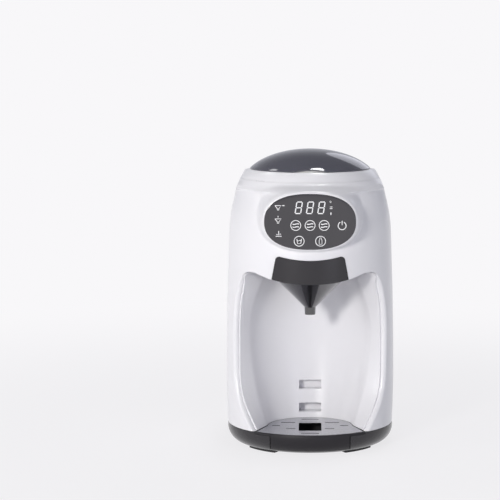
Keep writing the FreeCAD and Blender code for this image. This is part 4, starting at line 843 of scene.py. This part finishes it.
class FORMULA_OT_bay_wall(bpy.types.Operator):
    """Scooped wall of the bay with its hook slots"""
    bl_idname = "formula_maker.bay_wall"
    bl_label = "Bay wall"

    rows = 90
    flare_columns = 26
    back_columns = 90
    # Rounds in which the rows' heights and their plan settle on one another
    settling = 3
    foot_gap = 0.3
    head_gap = 0.4
    thinning = 0.3
    # Width over which a row is averaged, in columns, and the columns by which it grows from a row's ends
    crease_softness = 2.2
    softness_growth = 2.5
    # Round under the ceiling: radius, how fast it grows along the flare, and its least share at the edge
    ceiling_fillet = 9.0
    fillet_growth = 1.6
    least_fillet = 0.02
    edge_inset = 0.4
    edge_lift = 0.35
    edge_lift_fade = 3.0
    slot_cut = (-40.0, -5.0)
    slot_round = 0.5
    pocket_wall = 1.6
    pocket_inset = 0.15

    def execute(self, context):
        wall = mesh_piece("bay_wall", *self.wall_grid(), "housing", FINISH["abs_white"])
        add_modifier(wall, "SOLIDIFY", thickness=(BAY_WALL - self.thinning) * MM, offset=-1.0)
        apply_modifiers(wall)
        lows = [SLOT_LOW_Z + index * SLOT_PITCH for index in range(SLOT_COUNT)]
        for low in lows:
            cut_away(wall, *self.slot_box(low, *self.slot_cut))
        add_modifier(wall, "BEVEL", width=self.slot_round * MM, segments=2, limit_method="ANGLE",
                     angle_limit=EDGE_ANGLE)
        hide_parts("bay_liner")
        for index, low in enumerate(lows):
            self.hook_pocket("hook_pocket_%d" % (index + 1), low)
        return {"FINISHED"}

    def wall_grid(self):
        """Each row runs from the right edge in a straight flare to the crease, round the back in a circular
        arc and out again on the left, with the crease softened by averaging neighbours along the row. The
        rows are level at first, and are then drawn anew below the head's edge over each column."""
        rise = np.linspace(0.0, 1.0, self.rows)[:, None]
        foot = BASE_TOP_Z + self.foot_gap
        columns = 2 * self.flare_columns + self.back_columns - 2
        z = foot + rise * np.full(columns, HEAD_FLOOR_Z - self.head_gap - foot)
        for _ in range(self.settling):
            x, y = self.wall_rows(z)
            z = foot + rise * (underside_z(x) - self.head_gap - foot)
        points = np.stack([x, y, z], axis=-1)
        self.lift_edges(points)
        self.roll_over(points)
        return points.reshape(-1, 3), grid_faces(self.rows, columns)

    def wall_rows(self, z):
        """Plan of the wall at each point's height, as x and y."""
        _, crease_x, crease_y, back_y = bay_values(z)
        corner, _, along_flare, reach, _, _ = bay_edge_round(z)
        start = self.edge_inset + np.clip(reach - 2.0 * self.edge_inset, 0.0, None)
        start = corner + along_flare * start[..., None]
        flare = np.linspace(0.0, 1.0, self.flare_columns)
        across = np.linspace(1.0, -1.0, self.back_columns)[1:-1]
        share = np.concatenate([flare, np.ones(len(across)), flare[::-1]])
        sign = np.repeat([1.0, 0.0, -1.0], [len(flare), len(across), len(flare)])
        sagitta = back_y - crease_y
        circle = (crease_x ** 2 + sagitta ** 2) / (2.0 * sagitta)
        turn = np.arctan2(crease_x, circle - sagitta) * np.pad(across, len(flare))
        flare_x = sign * (start[..., 0] + (crease_x - start[..., 0]) * share)
        flare_y = start[..., 1] + (crease_y - start[..., 1]) * share
        x = np.where(sign == 0.0, circle * np.sin(turn), flare_x)
        y = np.where(sign == 0.0, back_y - circle + circle * np.cos(turn), flare_y)
        return self.soften(x), self.soften(y)

    def soften(self, values):
        """Weighted average along each row, fading to none at both ends."""
        index = np.arange(values.shape[1])
        reach = np.minimum(self.crease_softness, self.from_end(values.shape[1]) / self.softness_growth + TINY)
        weight = np.exp(-0.5 * ((index - index[:, None]) / reach[:, None]) ** 2)
        weight /= weight.sum(axis=1, keepdims=True)
        return values @ weight.T

    def from_end(self, count):
        """How many columns each of a row's columns is from the nearer end."""
        index = np.arange(count)
        return np.minimum(index, count - 1 - index)

    def into_bay(self, plan):
        """Unit direction into the bay at each point of rows of x and y: a quarter turn from the row."""
        along = np.gradient(plan, axis=-2)
        return unit(np.stack([along[..., 1], -along[..., 0]], axis=-1))

    def lift_edges(self, points):
        """Moves the wall's outer columns into the bay, fading along the flare, so that they cover the
        shell's rim."""
        near_edge = self.from_end(points.shape[1]) / self.flare_columns
        lift = self.edge_lift * np.clip(1.0 - self.edge_lift_fade * near_edge, 0.0, 1.0)
        points[..., :2] += lift[:, None] * self.into_bay(points[..., :2])

    def roll_over(self, points):
        """Turns the wall's top forward in a quarter round under the ceiling: each point moves into the bay
        by the round's depth at its height. The round shrinks to almost nothing at the bay's edges."""
        near_edge = self.from_end(points.shape[1]) / self.flare_columns
        radius = self.ceiling_fillet * np.clip(near_edge * self.fillet_growth, self.least_fillet, 1.0)
        below = np.clip(radius - (points[-1, :, 2] - points[..., 2]), 0.0, radius)
        depth = radius - np.sqrt(radius ** 2 - below ** 2)
        points[..., :2] += depth[..., None] * self.into_bay(points[-1, :, :2])

    def slot_box(self, low, front_y, back_y):
        """Closed box as wide and high as a slot, between two depths."""
        return box_form((-SLOT_WIDTH / 2, front_y, low), (SLOT_WIDTH / 2, back_y, low + SLOT_HEIGHT))

    def hook_pocket(self, name, low):
        """White box behind a slot, open towards the bay."""
        front_y = float(natural_spline(BAY_Z, BAY_BACK_Y, low + SLOT_HEIGHT)) + self.pocket_inset
        points, faces = self.slot_box(low, front_y, SLOT_BACK_Y)
        pocket = mesh_piece(name, points, faces[1:], "housing", FINISH["abs_white"], smooth=False)
        add_modifier(pocket, "SOLIDIFY", thickness=self.pocket_wall * MM, offset=1.0)


class FORMULA_OT_dome(bpy.types.Operator):
    """Smoked dome lid with its finger notch"""
    bl_idname = "formula_maker.dome"
    bl_label = "Dome lid"

    around = 192
    rings = 40
    weld = 0.01

    def execute(self, context):
        dome = mesh_piece("smoked_dome", *self.shell_grid(), "lid", FINISH["smoked_lid"])
        add_modifier(dome, "WELD", merge_threshold=self.weld * MM)
        apply_modifiers(dome)
        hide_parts("dome_lid")
        return {"FINISHED"}

    def shell_grid(self):
        """Quarter ellipse turned about the front axis, outside from the rim to the top and back down
        inside. The rim's height rises over the finger notch as a parabola."""
        turn = np.linspace(0.0, 2.0 * np.pi, self.around, endpoint=False)
        rim_x = DOME_HALF_WIDTH * LID_RIM_SHARE * np.cos(turn)
        over_notch = np.clip(1.0 - (rim_x / NOTCH_HALF_WIDTH) ** 2, 0.0, None) * (np.sin(turn) < 0.0)
        rim_z = LID_LOW_Z + NOTCH_HEIGHT * over_notch
        outer_radius, outer_z = self.profile(0.0, rim_z)
        inner_radius, inner_z = self.profile(DOME_WALL, rim_z)
        radius = np.concatenate([outer_radius, inner_radius[::-1]])
        z = np.concatenate([outer_z, inner_z[::-1]])
        points = np.stack([radius * np.cos(turn), FRONT_AXIS_Y + radius * np.sin(turn), z], axis=-1)
        faces = grid_faces(2 * self.rings, self.around, close_rows=True, close_columns=True)
        return points.reshape(-1, 3), faces

    def profile(self, inset, rim_z):
        """Radius and height of each ring from the rim up, on the dome's quarter ellipse less an inset."""
        half_height = DOME_HALF_HEIGHT - inset
        low = np.arcsin((rim_z - DOME_Z) / half_height)
        angle = low + (np.pi / 2 - low) * np.linspace(0.0, 1.0, self.rings)[:, None]
        return (DOME_HALF_WIDTH - inset) * np.cos(angle), DOME_Z + half_height * np.sin(angle)


class FORMULA_OT_panel(bpy.types.Operator):
    """Glossy lens with its printed digits and symbols"""
    bl_idname = "formula_maker.panel"
    bl_label = "Control panel"

    around = 160
    roll_rings = 6
    roll_radius = 0.6
    face_rings = (4.0, 16.0, 30.0)
    digit_height = 13.7
    digit_width = 7.2
    digit_slant = 0.16
    bar = 1.15
    bar_gap = 0.45
    ink_height = 0.06
    ring_points = 48
    wave_points = 24

    def execute(self, context):
        lens = mesh_piece("panel_lens", *self.lens_grid(), "housing", FINISH["lens"])
        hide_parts("control_panel")
        marks = mesh_piece("panel_marks", *self.marks(), "housing", FINISH["ink"], smooth=False)
        return {"FINISHED"}

    def lens_grid(self):
        """Superellipse rings that shrink to the middle: a side wall, a rounded edge and a flat face."""
        turn = np.linspace(0.0, 2.0 * np.pi, self.around, endpoint=False)
        roll = np.linspace(0.0, np.pi / 2, self.roll_rings)
        inset = np.concatenate([[0.0], self.roll_radius * (1.0 - np.cos(roll)), self.face_rings])[:, None]
        depth = np.concatenate([[LENS_THICKNESS], self.roll_radius * (1.0 - np.sin(roll)),
                                np.zeros(len(self.face_rings))])[:, None]
        x = self.power(np.cos(turn)) * (PANEL_HALF_WIDTH - inset)
        z = PANEL_Z + self.power(np.sin(turn)) * (PANEL_HALF_HEIGHT - inset)
        points = np.stack([x, np.broadcast_to(POD_FACE_Y + depth, x.shape), z], axis=-1).reshape(-1, 3)
        faces = grid_faces(len(inset), self.around, close_columns=True)
        last = len(points) - self.around + np.arange(self.around)
        cap = np.stack([last, np.roll(last, -1), np.full(self.around, len(points))], axis=1)
        points = np.concatenate([points, [[0.0, POD_FACE_Y, PANEL_Z]]])
        return points, faces.tolist() + cap.tolist()

    def power(self, value):
        """Cosine or sine raised to two over the panel's power, with its sign kept."""
        return np.sign(value) * np.abs(value) ** (2.0 / PANEL_POWER)

    def stroke(self, path, width, closed=False):
        """Flat band of a width along a path of x and z points, standing just clear of the lens."""
        path = np.asarray(path, dtype=float)
        before = np.roll(path, 1, axis=0)
        after = np.roll(path, -1, axis=0)
        if not closed:
            before[0] = path[0]
            after[-1] = path[-1]
        along = unit(after - before)
        side = np.stack([-along[:, 1], along[:, 0]], axis=1) * width / 2
        rim = np.concatenate([path + side, path - side])
        points = np.stack([rim[:, 0], np.full(len(rim), POD_FACE_Y - self.ink_height), rim[:, 1]], axis=1)
        return points, grid_faces(2, len(path), close_columns=closed)

    def ring(self, x, z, radius, width, start=0.0, end=360.0):
        """Circle or arc band about a point."""
        closed = end - start >= 360.0
        turn = np.radians(np.linspace(start, end, self.ring_points, endpoint=not closed))
        path = np.stack([x + radius * np.cos(turn), z + radius * np.sin(turn)], axis=1)
        return self.stroke(path, width, closed)

    def wave(self, x, z, length, height, width):
        """Sine line of one wave about a point."""
        along = np.linspace(-0.5, 0.5, self.wave_points)
        path = np.stack([x + along * length, z + height * np.sin(along * 2 * np.pi)], axis=1)
        return self.stroke(path, width)

    def digit(self, x, z):
        """Seven slanted bars of an eight about a point."""
        half = (self.digit_height - self.bar) / 2
        reach = (self.digit_width - self.bar) / 2
        gap = self.bar_gap
        bars = [((gap - reach, level), (reach - gap, level)) for level in (-half, 0.0, half)]
        for side in (-reach, reach):
            bars += [((side, gap), (side, half - gap)), ((side, gap - half), (side, -gap))]
        slant = np.array([[1.0, 0.0], [self.digit_slant, 1.0]])
        return [self.stroke(np.array(ends) @ slant + (x, z), self.bar) for ends in bars]

    def marks(self):
        """Every printed mark: display digits, touch rings and plain symbols."""
        made = [bar for x in DIGIT_X for bar in self.digit(x, DIGIT_Z)]
        made += [self.ring(*ring) for ring in RINGS]
        made += [self.stroke((start, end), width) for start, end, width in BARS]
        made += [self.wave(*wave) for wave in WAVES]
        made += [self.stroke(np.add(path, (x, z)), width) for x, z, path, width in OUTLINES]
        offsets = np.cumsum([0] + [len(points) for points, _ in made[:-1]])
        points = np.concatenate([points for points, _ in made])
        faces = np.concatenate([faces + offset for (_, faces), offset in zip(made, offsets)])
        return points, faces


class FORMULA_PT_panel(bpy.types.Panel):
    """Lists the steps that dress the machine"""
    bl_idname = "FORMULA_PT_panel"
    bl_label = "Formula maker"
    bl_space_type = "VIEW_3D"
    bl_region_type = "UI"
    bl_category = "Formula maker"

    def draw(self, context):
        for step in STEPS:
            self.layout.operator(step.bl_idname)


STEPS = (FORMULA_OT_stage, FORMULA_OT_finishes, FORMULA_OT_front_shell, FORMULA_OT_bay_wall, FORMULA_OT_dome,
         FORMULA_OT_panel)
CLASSES = (FormulaMakerSizes,) + STEPS + (FORMULA_PT_panel,)


def register():
    """Registers every class and the scene's settings."""
    for item in CLASSES:
        bpy.utils.register_class(item)
    bpy.types.Scene.formula_maker_sizes = bpy.props.PointerProperty(type=FormulaMakerSizes)


def unregister():
    """Undoes register."""
    del bpy.types.Scene.formula_maker_sizes
    for item in reversed(CLASSES):
        bpy.utils.unregister_class(item)


def main():
    """Runs every step."""
    register()
    bpy.ops.formula_maker.stage()
    bpy.ops.formula_maker.finishes()
    bpy.ops.formula_maker.front_shell()
    bpy.ops.formula_maker.bay_wall()
    bpy.ops.formula_maker.dome()
    bpy.ops.formula_maker.panel()


if __name__ == "__main__":
    main()
